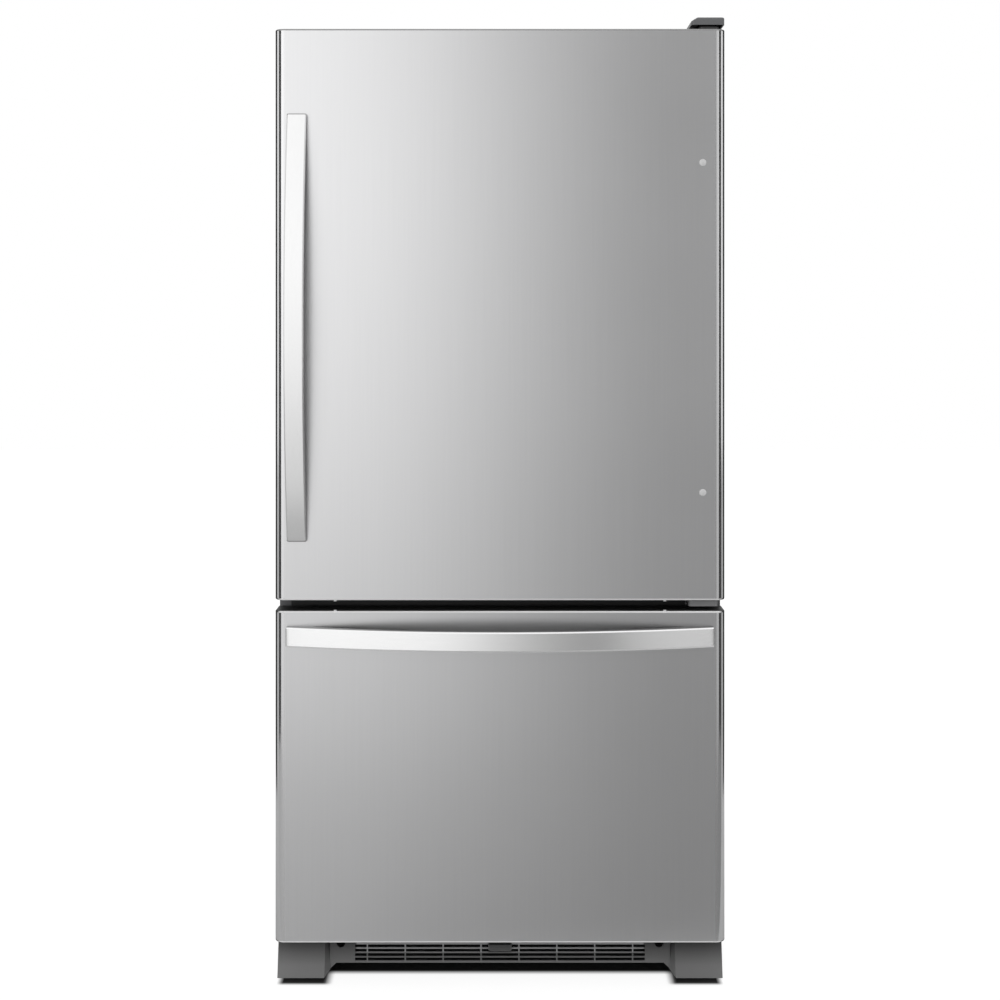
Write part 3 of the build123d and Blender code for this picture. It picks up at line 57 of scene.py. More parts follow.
body_of = {node: body for body, nodes in record["behaviour"]["bodies"].items() for node in nodes}
door_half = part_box("fridge_door_skin")[1][0]
door_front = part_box("fridge_door_skin")[0][1]
door_radius = 0.018

# %% [markdown]
# ## Shader sums
# A finish is mostly arithmetic on patterns: a grain times a strength, one minus a mask. Written
# with nodes alone it fills the page, so a small class wraps a socket and lets Python's own
# signs add the Math nodes. Colours don't go through it, because a Math node turns them grey.


# %% A socket that can be used in sums
class Signal:
    """One output socket of a finish, usable in sums with numbers and other signals."""

    def __init__(self, finish, socket):
        self.finish = finish
        self.socket = socket

    def sum_with(self, operation, first, second):
        return self.finish.node("ShaderNodeMath", {"operation": operation}, {0: first, 1: second})

    def __add__(self, other):
        return self.sum_with("ADD", self, other)

    def __radd__(self, other):
        return self.sum_with("ADD", other, self)

    def __sub__(self, other):
        return self.sum_with("SUBTRACT", self, other)

    def __rsub__(self, other):
        return self.sum_with("SUBTRACT", other, self)

    def __mul__(self, other):
        return self.sum_with("MULTIPLY", self, other)

    def __rmul__(self, other):
        return self.sum_with("MULTIPLY", other, self)

    def __truediv__(self, other):
        return self.sum_with("DIVIDE", self, other)


# %% [markdown]
# ## Finishes
# A finish is one Principled material. Whatever is the same all over is set on the shader's own
# sockets. Whatever changes over the surface is a pattern in the object's own coordinates, which
# are metres here, so a grain of half a millimetre is written as what it is and stays in place
# when a door opens.


# %% A finish and its patterns
class Finish:
    """A Principled material with a few calls for the patterns that drive it."""

    def __init__(self, name, color, roughness=0.5, **constants):
        self.material = bpy.data.materials.new(name)
        self.material.use_nodes = True
        self.tree = self.material.node_tree
        self.shader = self.tree.nodes["Principled BSDF"]
        self.color = self.as_color(color)
        self.shader.inputs["Base Color"].default_value = self.color
        self.shader.inputs["Roughness"].default_value = roughness
        for words, value in constants.items():
            self.shader.inputs[words.replace("_", " ").title().replace("Ior", "IOR")].default_value = value
        self.place = self.node("ShaderNodeTexCoord", output="Object")

    @staticmethod
    def as_color(color):
        values = (color,) * 3 if isinstance(color, (int, float)) else tuple(color)
        return (*values[:3], 1.0)

    def node(self, kind, settings=None, inputs=None, output=0):
        made = self.tree.nodes.new(kind)
        for key, value in (settings or {}).items():
            if key == "stops":
                self.set_stops(made.color_ramp, value)
            else:
                setattr(made, key, value)
        for key, value in (inputs or {}).items():
            if isinstance(value, Signal):
                self.tree.links.new(value.socket, made.inputs[key])
            else:
                made.inputs[key].default_value = value
        return Signal(self, made.outputs[output])

    @staticmethod
    def set_stops(ramp, stops):
        while len(ramp.elements) < len(stops):
            ramp.elements.new(0.5)
        for element, (position, level) in zip(ramp.elements, stops):
            element.position = position
            element.color = (level, level, level, 1.0)

    def stretched(self, x, y, z):
        """The object's coordinates, scaled by a factor along each axis."""
        settings = {"operation": "MULTIPLY"}
        return self.node("ShaderNodeVectorMath", settings, {0: self.place, 1: (x, y, z)})

    def noise(self, scale, detail=2.0, roughness=0.5, place=None):
        inputs = {"Vector": place or self.place, "Scale": scale, "Detail": detail, "Roughness": roughness}
        return self.node("ShaderNodeTexNoise", None, inputs)

    def cells(self, scale, feature="F1", output="Distance"):
        inputs = {"Vector": self.place, "Scale": scale}
        return self.node("ShaderNodeTexVoronoi", {"feature": feature}, inputs, output)

    def ramp(self, signal, stops):
        """Grey levels read from a signal at (position, level) stops."""
        return self.node("ShaderNodeValToRGB", {"stops": stops}, {"Fac": signal}, "Color")

    def between(self, signal, low, high):
        """A signal cut to 0 below one level and 1 above another."""
        return self.ramp(signal, [(low, 0.0), (high, 1.0)])

    def beyond(self, place, low, high, shift=0.5):
        """As between(), for a place that can be negative: a ramp takes 0 to 1 alone."""
        return self.between(place + shift, low + shift, high + shift)

    def above(self, low, high, span=2.0):
        """As between(), for a height in metres, with the ramp spread over a span."""
        return self.between(self.axis("Z") / span, low / span, high / span)

    def away_from_middle(self):
        """Distance from the object's middle plane, in metres."""
        split = self.node("ShaderNodeSeparateXYZ", None, {0: self.place})
        return self.node("ShaderNodeMath", {"operation": "ABSOLUTE"}, {0: split})

    def axis(self, name):
        """One coordinate of the object, in metres."""
        return self.node("ShaderNodeSeparateXYZ", None, {0: self.place}, name)

    def worn_edges(self, radius=0.002):
        """About 1 where two faces meet at an outer edge, and 0 on flat faces."""
        bevel = self.node("ShaderNodeBevel", {"samples": 4}, {"Radius": radius})
        plain = self.node("ShaderNodeNewGeometry", output="Normal")
        pair = {0: bevel, 1: plain}
        return 1.0 - self.node("ShaderNodeVectorMath", {"operation": "DOT_PRODUCT"}, pair, "Value")

    def blend(self, factor, first, second):
        """A colour between two colours, each a signal, a triple or one grey level."""
        inputs = {0: factor, 6: first, 7: second}
        for key in (6, 7):
            if not isinstance(inputs[key], Signal):
                inputs[key] = self.as_color(inputs[key])
        return self.node("ShaderNodeMix", {"data_type": "RGBA"}, inputs, 2)

    def drive(self, name, signal):
        self.tree.links.new(signal.socket, self.shader.inputs[name])

    def tint(self, signal, amount):
        """Lets a pattern from 0 to 1 lighten and darken the colour by a share each way."""
        darker = [channel * (1 - amount) for channel in self.color[:3]]
        lighter = [min(1.0, channel * (1 + amount)) for channel in self.color[:3]]
        self.drive("Base Color", self.blend(signal, darker, lighter))

    def relief(self, height, depth):
        """A bump whose height, from 0 to 1, stands for a depth in metres."""
        inputs = {"Height": height, "Distance": depth, "Strength": 1.0}
        self.drive("Normal", self.node("ShaderNodeBump", None, inputs))


finishes = {}
print("finish helpers ready")

# %% [markdown]
# ### Stainless steel
# The doors are brushed sheet: long, very fine scratches along the sheet, which blur reflections
# more across than along. At the photograph's distance the scratches melt into a soft sheen, so
# they are given by stretched noise in the roughness and a bump of a few hundredths of a
# millimetre, and not by dark lines in the colour. A real anisotropic setting would be lost when
# the materials are baked. Where the sheet is rolled round the door's edge it is smoother, which
# draws the thin bright and dark lines along the doors' sides.


# %% Brushed metals
rolled_gloss = 0.62


def brushed(name, color, roughness, along, spread=0.06, depth=0.00002, rolled=None):
    """Metal with fine scratches along one axis, smoother past a distance from the middle."""
    finish = Finish(name, color, roughness, metallic=1.0)
    fine = [1400.0 if axis != along else 9.0 for axis in range(3)]
    scratches = finish.noise(1.0, 3.0, 0.6, finish.stretched(*fine))
    coarse = [260.0 if axis != along else 3.0 for axis in range(3)]
    streaks = finish.noise(1.0, 2.0, 0.5, finish.stretched(*coarse))
    clouds = finish.noise(3.0, 3.0)
    gloss = roughness + (scratches - 0.5) * spread + (clouds - 0.5) * spread * 0.8
    if rolled:
        bright = finish.between(finish.away_from_middle(), rolled, rolled + 0.002)
        gloss = gloss * (1.0 - bright * rolled_gloss)
    finish.drive("Roughness", gloss)
    finish.tint(streaks * 0.6 + clouds * 0.4, 0.035)
    finish.relief(scratches, depth)
    return finish.material


rolled_from = door_half - door_radius + 0.001
polished = {"spread": 0.03, "depth": 0.000004}
finishes["stainless"] = brushed("stainless", (0.66, 0.66, 0.665), 0.30, along=2, rolled=rolled_from)
# One steel in two brightnesses: the level bar's copy is much lighter than the upright's, a painted highlight.
finishes["handle_metal"] = brushed("handle_metal_upright", 0.72, 0.22, along=2, **polished)
handle_level_lit_metal = brushed("handle_metal_level_lit", 0.97, 0.23, along=0, **polished)
# A darker copy of the handle steel: painted shade for the handles' backs, sides and ends.
handle_shade_metal = brushed("handle_shade_metal", 0.34, 0.42, along=1)
finishes["slide_steel"] = brushed("slide_steel", (0.60, 0.60, 0.61), 0.34, along=1)
finishes["screw_steel"] = brushed("screw_steel", (0.62, 0.62, 0.63), 0.30, along=0)
finishes["fin_aluminium"] = brushed("fin_aluminium", (0.72, 0.73, 0.74), 0.38, along=2)
print("brushed metals:", len(finishes) + 2)

# %% [markdown]
# ### Zinc-coated sheet
# The back and the deck are bare zinc-coated steel. It has a pattern of flat crystals, each a
# slightly different grey and a slightly different gloss. Voronoi cells with one colour each
# give that, and a second, finer noise keeps the cells from looking like tiles.

# %% Zinc sheet
zinc = Finish("zinc_sheet", (0.55, 0.56, 0.57), 0.42, metallic=1.0)
crystals = zinc.cells(95.0, output="Color")
crystal_level = zinc.node("ShaderNodeSeparateColor", None, {"Color": crystals}, "Red")
dust = zinc.noise(40.0, 4.0)
zinc.tint(crystal_level * 0.7 + dust * 0.3, 0.14)
zinc.drive("Roughness", 0.34 + crystal_level * 0.12 + dust * 0.08)
zinc.relief(dust, 0.00008)
finishes["zinc_sheet"] = zinc.material
print("zinc sheet made")

# %% [markdown]
# ### Paints
# The cabinet's sides are pre-painted sheet with a fine leather-like emboss. The hinges, the
# compressor and the motors are sprayed, which leaves an orange peel: a shallow, soft waviness.
# Both are one function with the scale and the depth of the relief as its values. Along edges a
# little paint is rubbed thin, so it is lighter there.


# %% Painted metals
def painted(name, color, roughness, grain, depth, wear=0.25, coat=0.0):
    finish = Finish(name, color, roughness, coat_weight=coat)
    peel = finish.cells(grain, "SMOOTH_F1") if grain > 300 else finish.noise(grain, 2.0)
    clouds = finish.noise(6.0, 4.0)
    rubbed = finish.worn_edges() * wear
    own = finish.color[:3]
    base = finish.blend(clouds, [c * 0.94 for c in own], [min(1.0, c * 1.06) for c in own])
    lighter = [min(1.0, c * 1.6 + 0.05) for c in own]
    finish.drive("Base Color", finish.blend(rubbed, base, lighter))
    finish.drive("Roughness", roughness - 0.04 + clouds * 0.08)
    finish.relief(peel, depth)
    return finish.material


# Colour, roughness, grain per metre, relief in metres, and where given: wear and clear coat.
paints = {
    "cabinet_paint": ((0.12, 0.12, 0.125), 0.42, 620.0, 0.00012),
    "hinge_steel": ((0.27, 0.27, 0.275), 0.38, 180.0, 0.00005),
    "track_paint": (0.85, 0.32, 160.0, 0.00004, 0.1),
    "condenser_paint": (0.05, 0.45, 220.0, 0.00006),
    "compressor_paint": (0.03, 0.26, 130.0, 0.0001, 0.25, 0.3),
    "motor_metal": ((0.20, 0.20, 0.21), 0.40, 180.0, 0.00005),
    # The mullion's near-black is partly its own dark paint and partly painted shade for the deep gap between
    # the doors.
    "mullion_paint": ((0.022, 0.022, 0.023), 0.45, 620.0, 0.0001, 0.0),
}
for name, values in paints.items():
    finishes[name] = painted(name, *values)
print("painted metals:", len(paints))

# %% [markdown]
# ### Moulded plastics
# The base grille, the hinge cover and the trims are moulded with a fine spark-eroded grain; the
# liners are smooth sheet with only a faint waviness from forming; the foam behind them has
# cells. One function serves them all: grain size, relief and how much the gloss wanders.


# %% Plastics
def moulded(name, color, roughness, grain, depth, tint=0.03, wander=0.06):
    finish = Finish(name, color, roughness)
    fine = finish.noise(grain, 2.0, 0.6)
    clouds = finish.noise(9.0, 3.0)
    finish.tint(fine * 0.5 + clouds * 0.5, tint)
    finish.drive("Roughness", roughness - wander / 2 + clouds * wander)
    finish.relief(fine, depth)
    return finish.material


# Colour, roughness, grain per metre, relief in metres, and where given: how much the colour varies.
mouldings = {
    "grey_plastic": ((0.135, 0.137, 0.142), 0.46, 700.0, 0.00008),
    "liner_white": ((0.88, 0.885, 0.88), 0.30, 60.0, 0.00003, 0.008),
    "trim_white": ((0.82, 0.82, 0.81), 0.40, 1100.0, 0.00003),
    "plug_plastic": (0.66, 0.30, 500.0, 0.00002),
    "dial_plastic": (0.80, 0.32, 900.0, 0.00002),
    "basket_plastic": ((0.80, 0.82, 0.83), 0.36, 420.0, 0.00003),
    "fan_plastic": (0.10, 0.42, 800.0, 0.00004),
    "pan_plastic": (0.12, 0.50, 600.0, 0.00006),
    "leg_plastic": (0.09, 0.48, 700.0, 0.00005),
    "roller_plastic": (0.15, 0.44, 800.0, 0.00004),
    "foam": ((0.80, 0.70, 0.46), 0.85, 520.0, 0.0006, 0.10),
    "gasket_rubber": ((0.035, 0.035, 0.036), 0.62, 300.0, 0.00006, 0.05),
    "grommet_rubber": (0.04, 0.70, 500.0, 0.0001),
}
for name, values in mouldings.items():
    finishes[name] = moulded(name, *values)
print("mouldings:", len(mouldings))

# %% [markdown]
# ### Painted light and shade on plastics and paint
# The doors' end caps are dark, and a painted highlight line runs along their front edge, dimmer
# on the top of the upper door as painted shade. The base plastic carries painted shade: it gets
# lighter towards the floor, where light reaches in under the door, and its bars take a painted
# highlight, lighter than the plate. The top bracket is painted nearly black as shade, since it
# sits under its cover. Each mask is a place in metres, so it stays where it is made.

# %% Caps, base and hinges
top_line = (1.60, 1.62)


def cap_with_painted_highlight(name, highlight_y):
    """Dark end cap with a painted highlight line along its front edge, dimmer on top as painted shade."""
    finish = Finish(name, 0.05, 0.5)
    behind = finish.beyond(finish.axis("Y"), highlight_y, highlight_y + 0.0008)
    top_in_shade = finish.above(*top_line)
    # The bright line is a painted highlight where the edge catches light; on the top cap it is dimmed as
    # painted shade.
    highlight_line = finish.blend(top_in_shade, 0.78, 0.30)
    speckle = finish.noise(900.0, 2.0) * 0.02
    finish.drive("Base Color", finish.blend(behind, highlight_line, finish.blend(speckle, 0.03, 0.2)))
    finish.relief(finish.noise(900.0, 2.0), 0.00003)
    return finish.material


def base_with_painted_shade(name, stops, bars_end=0.27, scoop_side=0.0222, bars_low=0.043):
    """Base plastic with painted shade, darker up under the door, and a painted highlight on the bars."""
    finish = Finish(name, (0.14, 0.14, 0.145), 0.46)
    # Painted shade: the plastic darkens from the floor up to where the door overhangs it.
    height = finish.ramp(finish.axis("Z") / 0.1, stops)
    # Painted highlight: the bars between the slots are lighter than the plate.
    bar_highlight = finish.between(1.0 - finish.away_from_middle() * 2.0, 1 - 2 * bars_end, 1.004 - 2 * bars_end)
    bar_highlight = bar_highlight * finish.between(finish.away_from_middle(), scoop_side, scoop_side + 0.0004)
    bar_highlight = bar_highlight * finish.above(bars_low, bars_low + 0.001, span=0.1)
    tone = finish.blend(bar_highlight, height, (0.36, 0.36, 0.365))
    grain = finish.noise(700.0, 2.0, 0.6)
    finish.drive("Base Color", finish.blend(grain * 0.1, tone, 0.02))
    finish.drive("Roughness", 0.43 + finish.noise(9.0, 3.0) * 0.06)
    finish.relief(grain, 0.00008)
    return finish.material


def hinge_with_painted_shade(name):
    """Grey paint on the centre hinge; the top one, under its cover, is painted nearly black as shade."""
    finish = Finish(name, (0.27, 0.27, 0.275), 0.38)
    top_in_shade = finish.above(*top_line)
    clouds = finish.noise(6.0, 4.0)
    low = finish.blend(clouds, (0.25, 0.25, 0.255), (0.29, 0.29, 0.295))
    # Painted shade: above the top line the bracket turns nearly black, for the shadow of its cover.
    finish.drive("Base Color", finish.blend(top_in_shade, low, (0.035, 0.035, 0.036)))
    finish.drive("Roughness", 0.34 + clouds * 0.08)
    finish.relief(finish.noise(180.0, 2.0), 0.00005)
    return finish.material


# Grey levels by height: painted shade under the door, lightest at the floor.
base_shade_stops = [(0.0, 0.20), (0.25, 0.185), (0.45, 0.12), (0.60, 0.06), (0.72, 0.035), (1.0, 0.03)]
finishes["cap_plastic"] = cap_with_painted_highlight("cap_plastic", door_front + 0.002)
finishes["base_plastic"] = base_with_painted_shade("base_plastic", base_shade_stops)
finishes["hinge_paint"] = hinge_with_painted_shade("hinge_paint")
print("finishes so far:", len(finishes))

# %% [markdown]
# ### Fibre board, clear plastic and glass
# The machine cover is pressed board, whose fibres lie every way, so its relief is a noise that
# is itself stirred. The bins and crispers are clear polystyrene and the shelves are glass. They
# let through a plain share of what stands behind them, with a slight cloud and a few scuffs in
# the gloss. Refraction would be truer for one wall, but many thin walls inside a white box trap
# the light between them, and the bins would turn dark.

# %% Board, clear plastic and glass
board = Finish("cover_board", (0.16, 0.155, 0.15), 0.72)
stirred = {"Vector": board.stretched(1.0, 1.0, 2.5), "Scale": 220.0, "Distortion": 1.6}
fibres = board.node("ShaderNodeTexNoise", None, stirred)
board.tint(fibres, 0.22)
board.relief(fibres, 0.0002)
finishes["cover_board"] = board.material


def see_through(name, color, roughness, ior, scuffs, body, milk=0.0):
    """A clear material. Its body is the share that doesn't let the view through."""
    finish = Finish(name, color, roughness, ior=ior, transmission_weight=milk, alpha=body)
    haze = finish.noise(14.0, 4.0)
    marks = finish.between(finish.noise(1.0, 3.0, 0.6, finish.stretched(60.0, 900.0, 60.0)), 0.66, 0.74)
    finish.tint(haze, 0.03)
    finish.drive("Roughness", roughness + haze * 0.03 + marks * scuffs)
    finish.relief(haze, 0.00004)
    return finish.material


finishes["clear_plastic"] = see_through("clear_plastic", (0.93, 0.95, 0.96), 0.07, 1.49, 0.12, 0.26)
finishes["shelf_glass"] = see_through("shelf_glass", (0.86, 0.94, 0.91), 0.03, 1.50, 0.05, 0.30)
finishes["lens_plastic"] = see_through("lens_plastic", (0.95, 0.95, 0.94), 0.35, 1.49, 0.05, 0.85, milk=0.5)
missing = sorted(set(slot_of.values()) - set(finishes))
print("finishes made:", len(finishes), "missing:", missing)

# %% [markdown]
# ## Dress the frame
# Every node gets the finish of its slot here, apart from three with their own finish: the base
# grille and the hinges, whose painted shade changes with the place, and the mullion rail, whose
# near-black is partly painted shade. The nodes that are built again below are hidden by their
# pieces, and the others keep this.

# %% Give each node its finish
own_finish = {"base_grille": "base_plastic", "mullion_rail": "mullion_paint", "door_hinges": "hinge_paint"}
for node, thing in frame["nodes"].items():
    for held in thing.material_slots:
        held.material = finishes[own_finish.get(node, slot_of[node])]
print("nodes dressed:", len(frame["nodes"]))

# %% [markdown]
# ## Pieces built again
# The frame's solids are exact but their edges are knife-sharp, and nothing moulded, pressed or
# folded has such an edge. Two ways are used. Where only the edges are wrong, a copy of the
# node's own mesh is cleaned and bevelled. Where the form itself is softer, as on the handles,
# the door skins and the seals, the piece is drawn again from its section and its path: it is a
# row of rings of points, and one function lays the faces between them.


# %% Adding a piece
def add_piece(name, mesh, node, smooth_angle):
    """Hangs a mesh on its node's body, gives it the node's finish and hides the node."""
    piece = bpy.data.objects.new(name, mesh)
    bpy.context.scene.collection.objects.link(piece)
    mesh.materials.clear()
    mesh.materials.append(finishes[own_finish.get(node, slot_of[node])])
    mesh.polygons.foreach_set("use_smooth", [True] * len(mesh.polygons))
    mesh.set_sharp_from_angle(angle=math.radians(smooth_angle))
    piece.modifiers.new("even_normals", "WEIGHTED_NORMAL").keep_sharp = True
    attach(piece, body_of[node])
    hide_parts(node)
    return piece


def mesh_from(name, points, faces):
    """A mesh from plain lists, with its faces turned outwards."""
    mesh = bpy.data.meshes.new(name)
    mesh.from_pydata(points, [], faces)
    work = bmesh.new()
    work.from_mesh(mesh)
    bmesh.ops.remove_doubles(work, verts=work.verts, dist=1e-6)
    bmesh.ops.recalc_face_normals(work, faces=work.faces)
    work.to_mesh(mesh)
    work.free()
    return mesh


def rebuilt(node, ending, shape, smooth_angle=40.0):
    """A piece of points and faces, drawn again for a node."""
    return add_piece(f"{node}_{ending}", mesh_from(node + "_mesh", *shape), node, smooth_angle)


def bands(rings, count, loop=False, closed=True):
    """Faces between rings of points, each ring listed after the one before."""
    faces = []
    for k in range(rings if loop else rings - 1):
        n = (k + 1) % rings
        for i in range(count if closed else count - 1):
            j = (i + 1) % count
            faces.append((k * count + i, k * count + j, n * count + j, n * count + i))
    return faces


# %% [markdown]
# ### Eased edges
# Sheet edges are broken by a third of a millimetre, and the linings' are rounded by one and a
# half. The node's mesh is made of triangles, so first the flat ones are joined into whole faces:
# a bevel that runs along a stray triangle edge would leave a scar. Then the Bevel modifier rounds
# every edge that is sharper than a set angle, and weighted normals keep the flat faces flat.


# %% Copies of nodes with eased edges
flat_angle = math.radians(0.6)
edge_angle = math.radians(35.0)


def eased(node, width):
    mesh = frame["nodes"][node].data.copy()
    mesh.name = node + "_mesh"
    work = bmesh.new()
    work.from_mesh(mesh)
    bmesh.ops.remove_doubles(work, verts=work.verts, dist=1e-5)
    bmesh.ops.dissolve_limit(
        work, angle_limit=flat_angle, verts=work.verts, edges=work.edges, use_dissolve_boundaries=False
    )
    work.to_mesh(mesh)
    work.free()
    piece = add_piece(node + "_eased", mesh, node, 40.0)
    bevel = piece.modifiers.new("eased_edges", "BEVEL")
    bevel.width = width
    bevel.segments = 2
    bevel.limit_method = "ANGLE"
    bevel.angle_limit = edge_angle
    piece.modifiers.move(len(piece.modifiers) - 1, 0)
    return piece


eased_nodes = {
    0.0003: (
        "side_panel_left", "side_panel_right", "top_panel", "base_deck", "machine_cover",
        "humidity_slider",
    ),
    0.0004: (
        "shelf_glasses", "freezer_slide_rails", "freezer_slide_middles", "freezer_drawer_rails",
        "base_brackets",
    ),
    0.0005: ("shelf_tracks",),
    0.0006: (
        "fridge_door_caps", "freezer_door_caps", "door_hinges", "crisper_cover", "dairy_lid",
        "evaporator_cover", "drip_pan",
    ),
    0.0008: (
        "control_housing", "door_bins", "dairy_box", "crisper_left", "crisper_right",
        "freezer_basket", "freezer_tray", "fan_motors",
    ),
    0.0009: ("base_grille",),
    0.0010: ("light_lens",),
    0.0012: ("hinge_cover", "shelf_frames", "fridge_liner", "freezer_liner", "compressor"),
    0.0015: ("fridge_door_liner", "freezer_door_liner"),
}
for width, nodes in eased_nodes.items():
    for node in nodes:
        eased(node, width)
print("eased nodes:", sum(len(nodes) for nodes in eased_nodes.values()))

# %% [markdown]
# ### Door skins
# A door skin is one sheet, wrapped round the front and both upright edges and bent in at the
# back. It could be bevelled like the rest, but the light slides along these long rounds, and
# any facet would show, so the plan outline is drawn with finely stepped arcs and pulled
# straight up. Extra points just beside each arc keep the flat front from shading as if bowed.


# %% Plan outlines with round corners
def arc(center, radius, start, stop, steps):
    angles = [math.radians(start + (stop - start) * i / steps) for i in range(steps + 1)]
    return [(center[0] + radius * math.cos(a), center[1] + radius * math.sin(a)) for a in angles]


def skin_outline(box, radius, inset, back_reach):
    """Half-open plan outline of a skin, from one bent rear edge round the front to the other."""
    low, high = box
    left, right = low[0] + inset, high[0] - inset
    front, back = low[1] + inset, high[1] - inset
    round_by = radius - inset
    bend = 0.0016 if inset == 0 else 0.0008
    outline = [(low[0] + back_reach, back), (left + bend, back)]
    outline += arc((left + bend, back - bend), bend, 90, 180, 3)
    outline += [(left, front + round_by + 0.001)]
    outline += arc((left + round_by, front + round_by), round_by, 180, 270, 14)
    outline += [(left + round_by + 0.001, front), (right - round_by - 0.001, front)]
    outline += arc((right - round_by, front + round_by), round_by, 270, 360, 14)
    outline += [(right, front + round_by + 0.001)]
    outline += arc((right - bend, back - bend), bend, 0, 90, 3)
    outline += [(right - bend, back), (high[0] - back_reach, back)]
    return outline


def door_skin(node, radius, sheet, back_reach):
    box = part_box(node)
    outer = skin_outline(box, radius, 0.0, back_reach)
    inner = skin_outline(box, radius, sheet, back_reach)
    loop = outer + inner[::-1]
    levels = [box[0][2], box[0][2] + 0.001, box[1][2] - 0.001, box[1][2]]
    points = [(x, y, z) for z in levels for x, y in loop]
    faces = bands(len(levels), len(loop))
    for base in (0, len(points) - len(loop)):
        last = base + len(loop) - 1
        faces += [(base + i, base + i + 1, last - 1 - i, last - i) for i in range(len(outer) - 1)]
    return rebuilt(node, "wrapped", (points, faces))


skin_sheet = 0.0008
skin_return = 0.016
for node in ("fridge_door_skin", "freezer_door_skin"):
    skin = door_skin(node, door_radius, skin_sheet, skin_return)
    print(skin.name, "faces:", len(skin.data.polygons))

# %% [markdown]
# ### Handles
# Each handle is one flat bar that bows out from the door between two seats. Narrow facets are
# ground along its front edges, and they catch the light as bright lines. Drawn as a sweep, it
# takes one section per step along the bow: the outer arc gives the front, the inner arc gives the
# back, and near the ends the back runs into the seat on the door. The back, the sides and the
# upright bar's ends take a darker copy of the metal, a painted shade, as they see only the dark
# side of the room.


# %% Bowed bars
def arc_height(s, length, ends, middle):
    """Height of the arc through both ends and the middle, at a place along the bar."""
    rise = middle - ends
    radius = (length * length / 4 + rise * rise) / (2 * rise)
    return middle - radius + math.sqrt(radius * radius - (s - length / 2) ** 2)


def bar_section(low, high, half_width, facet, lower_facet):
    """Section of the bar, across by height: bright facets at the front, eased at the back."""
    small = min(0.0012, (high - low) * 0.4)
    across, deep = lower_facet
    section = [(half_width, high - facet), (half_width - facet, high)]
    section += [(across - half_width, high), (-half_width, high - deep)]
    for x, start in ((-half_width, 180), (half_width, 270)):
        section += arc((x - math.copysign(small, x), low + small), small, start, start + 90, 3)
    return section


end_pinch = {0.0: 0.0014, 0.0006: 0.0005, 0.0018: 0.0}


def bowed_bar(node, upright, reach, thick, foot, facet, lower_facet, steps=96):
    """A bar along a bow, pinched at its very ends to ease their edges."""
    low_corner, high_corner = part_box(node)
    along, across = (2, 0) if upright else (0, 2)
    length = high_corner[along] - low_corner[along]
    half_width = (high_corner[across] - low_corner[across]) / 2
    middle = (high_corner[across] + low_corner[across]) / 2
    door = high_corner[1]
    pinches = {place: pinch for near, pinch in end_pinch.items() for place in (near, length - near)}
    stations = {*pinches, foot, length - foot, *(length * i / steps for i in range(1, steps))}
    points = []
    for s in sorted(stations):
        pinch = pinches.get(s, 0.0)
        high = arc_height(s, length, thick, reach)
        inner = foot <= s <= length - foot
        low = arc_height(s - foot, length - 2 * foot, 0.0, reach - thick) if inner else 0.0
        section = bar_section(low, high - pinch, half_width - pinch, facet, lower_facet)
        place = low_corner[along] + s
        for a, b in section:
            points.append((middle + a, door - b, place) if upright else (place, door - b, middle + a))
    count = len(section)
    faces = bands(len(stations), count)
    faces += [tuple(range(count)), tuple(range(len(points) - count, len(points)))]
    return rebuilt(node, "bar", (points, faces), smooth_angle=28)


handle_reach = 0.060
handle_thick = 0.011
handle_foot = 0.046
handle_facet = 0.0022
steep_facet = (0.0030, 0.0021)
bar_sizes = (handle_reach, handle_thick, handle_foot, handle_facet)
upright_bar = bowed_bar("fridge_handle", True, *bar_sizes, (handle_facet, handle_facet))
level_bar = bowed_bar("freezer_handle", False, *bar_sizes, steep_facet)
level_bar.data.materials[0] = handle_level_lit_metal
# The back, the sides and the upright bar's ends take the darker copy: painted shade.
for bar in (upright_bar, level_bar):
    bar.data.materials.append(handle_shade_metal)
    for face in bar.data.polygons:
        at_end = bar is upright_bar and abs(face.normal.z) > 0.35
        if face.normal.y > -0.4 or at_end:
            face.material_index = 1
print("handles:", upright_bar.name, level_bar.name)

# %% [markdown]
# ### Gaskets
# A door gasket is an extruded rubber section: a flat magnet strip that meets the cabinet, a
# folded bellows behind it and a foot that is pushed into the door liner. One section is drawn
# and swept round a rectangle with mitred corners, as the real strips are welded.


# %% Swept frames
def swept_frame(section, corners):
    """A closed section of (outwards, forwards) points, swept round a rectangle in X and Z."""
    (x0, z0), (x1, z1) = corners
    posts = [(x0, z0, -1, -1), (x1, z0, 1, -1), (x1, z1, 1, 1), (x0, z1, -1, 1)]
    points = [(x + sx * out, y, z + sz * out) for x, z, sx, sz in posts for out, y in section]
    return points, bands(len(posts), len(section), loop=True)


def gasket(node, width=0.012):
    low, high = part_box(node)
    depth = high[1] - low[1]
    fold = [(0.0, 0.0), (0.0, 0.12), (-0.22, 0.20), (-0.30, 0.30), (-0.16, 0.40), (0.0, 0.48), (0.0, 0.62)]
    fold += [(-0.10, 0.68), (-0.02, 0.76), (0.0, 0.86), (0.0, 0.96), (-0.06, 1.0)]
    fold += [(-0.94, 1.0), (-1.0, 0.95), (-1.0, 0.72), (-0.90, 0.66), (-0.74, 0.60), (-0.86, 0.42)]
    fold += [(-1.0, 0.30), (-1.0, 0.0)]
    section = [(out * width, low[1] + y * depth) for out, y in fold]
    shape = swept_frame(section, ((low[0], low[2]), (high[0], high[2])))
    return rebuilt(node, "bellows", shape, smooth_angle=55)


for node in ("fridge_door_gasket", "freezer_door_gasket"):
    print(gasket(node).name)

# %% [markdown]
# ### Turned pieces
# The hole plugs, the levelling legs, the rollers and the dial are round. A lathe fits them: a
# profile of radius and height is turned about an axis in small steps. The plug is a shallow
# dome with a step at its rim, and its stem goes into the door.


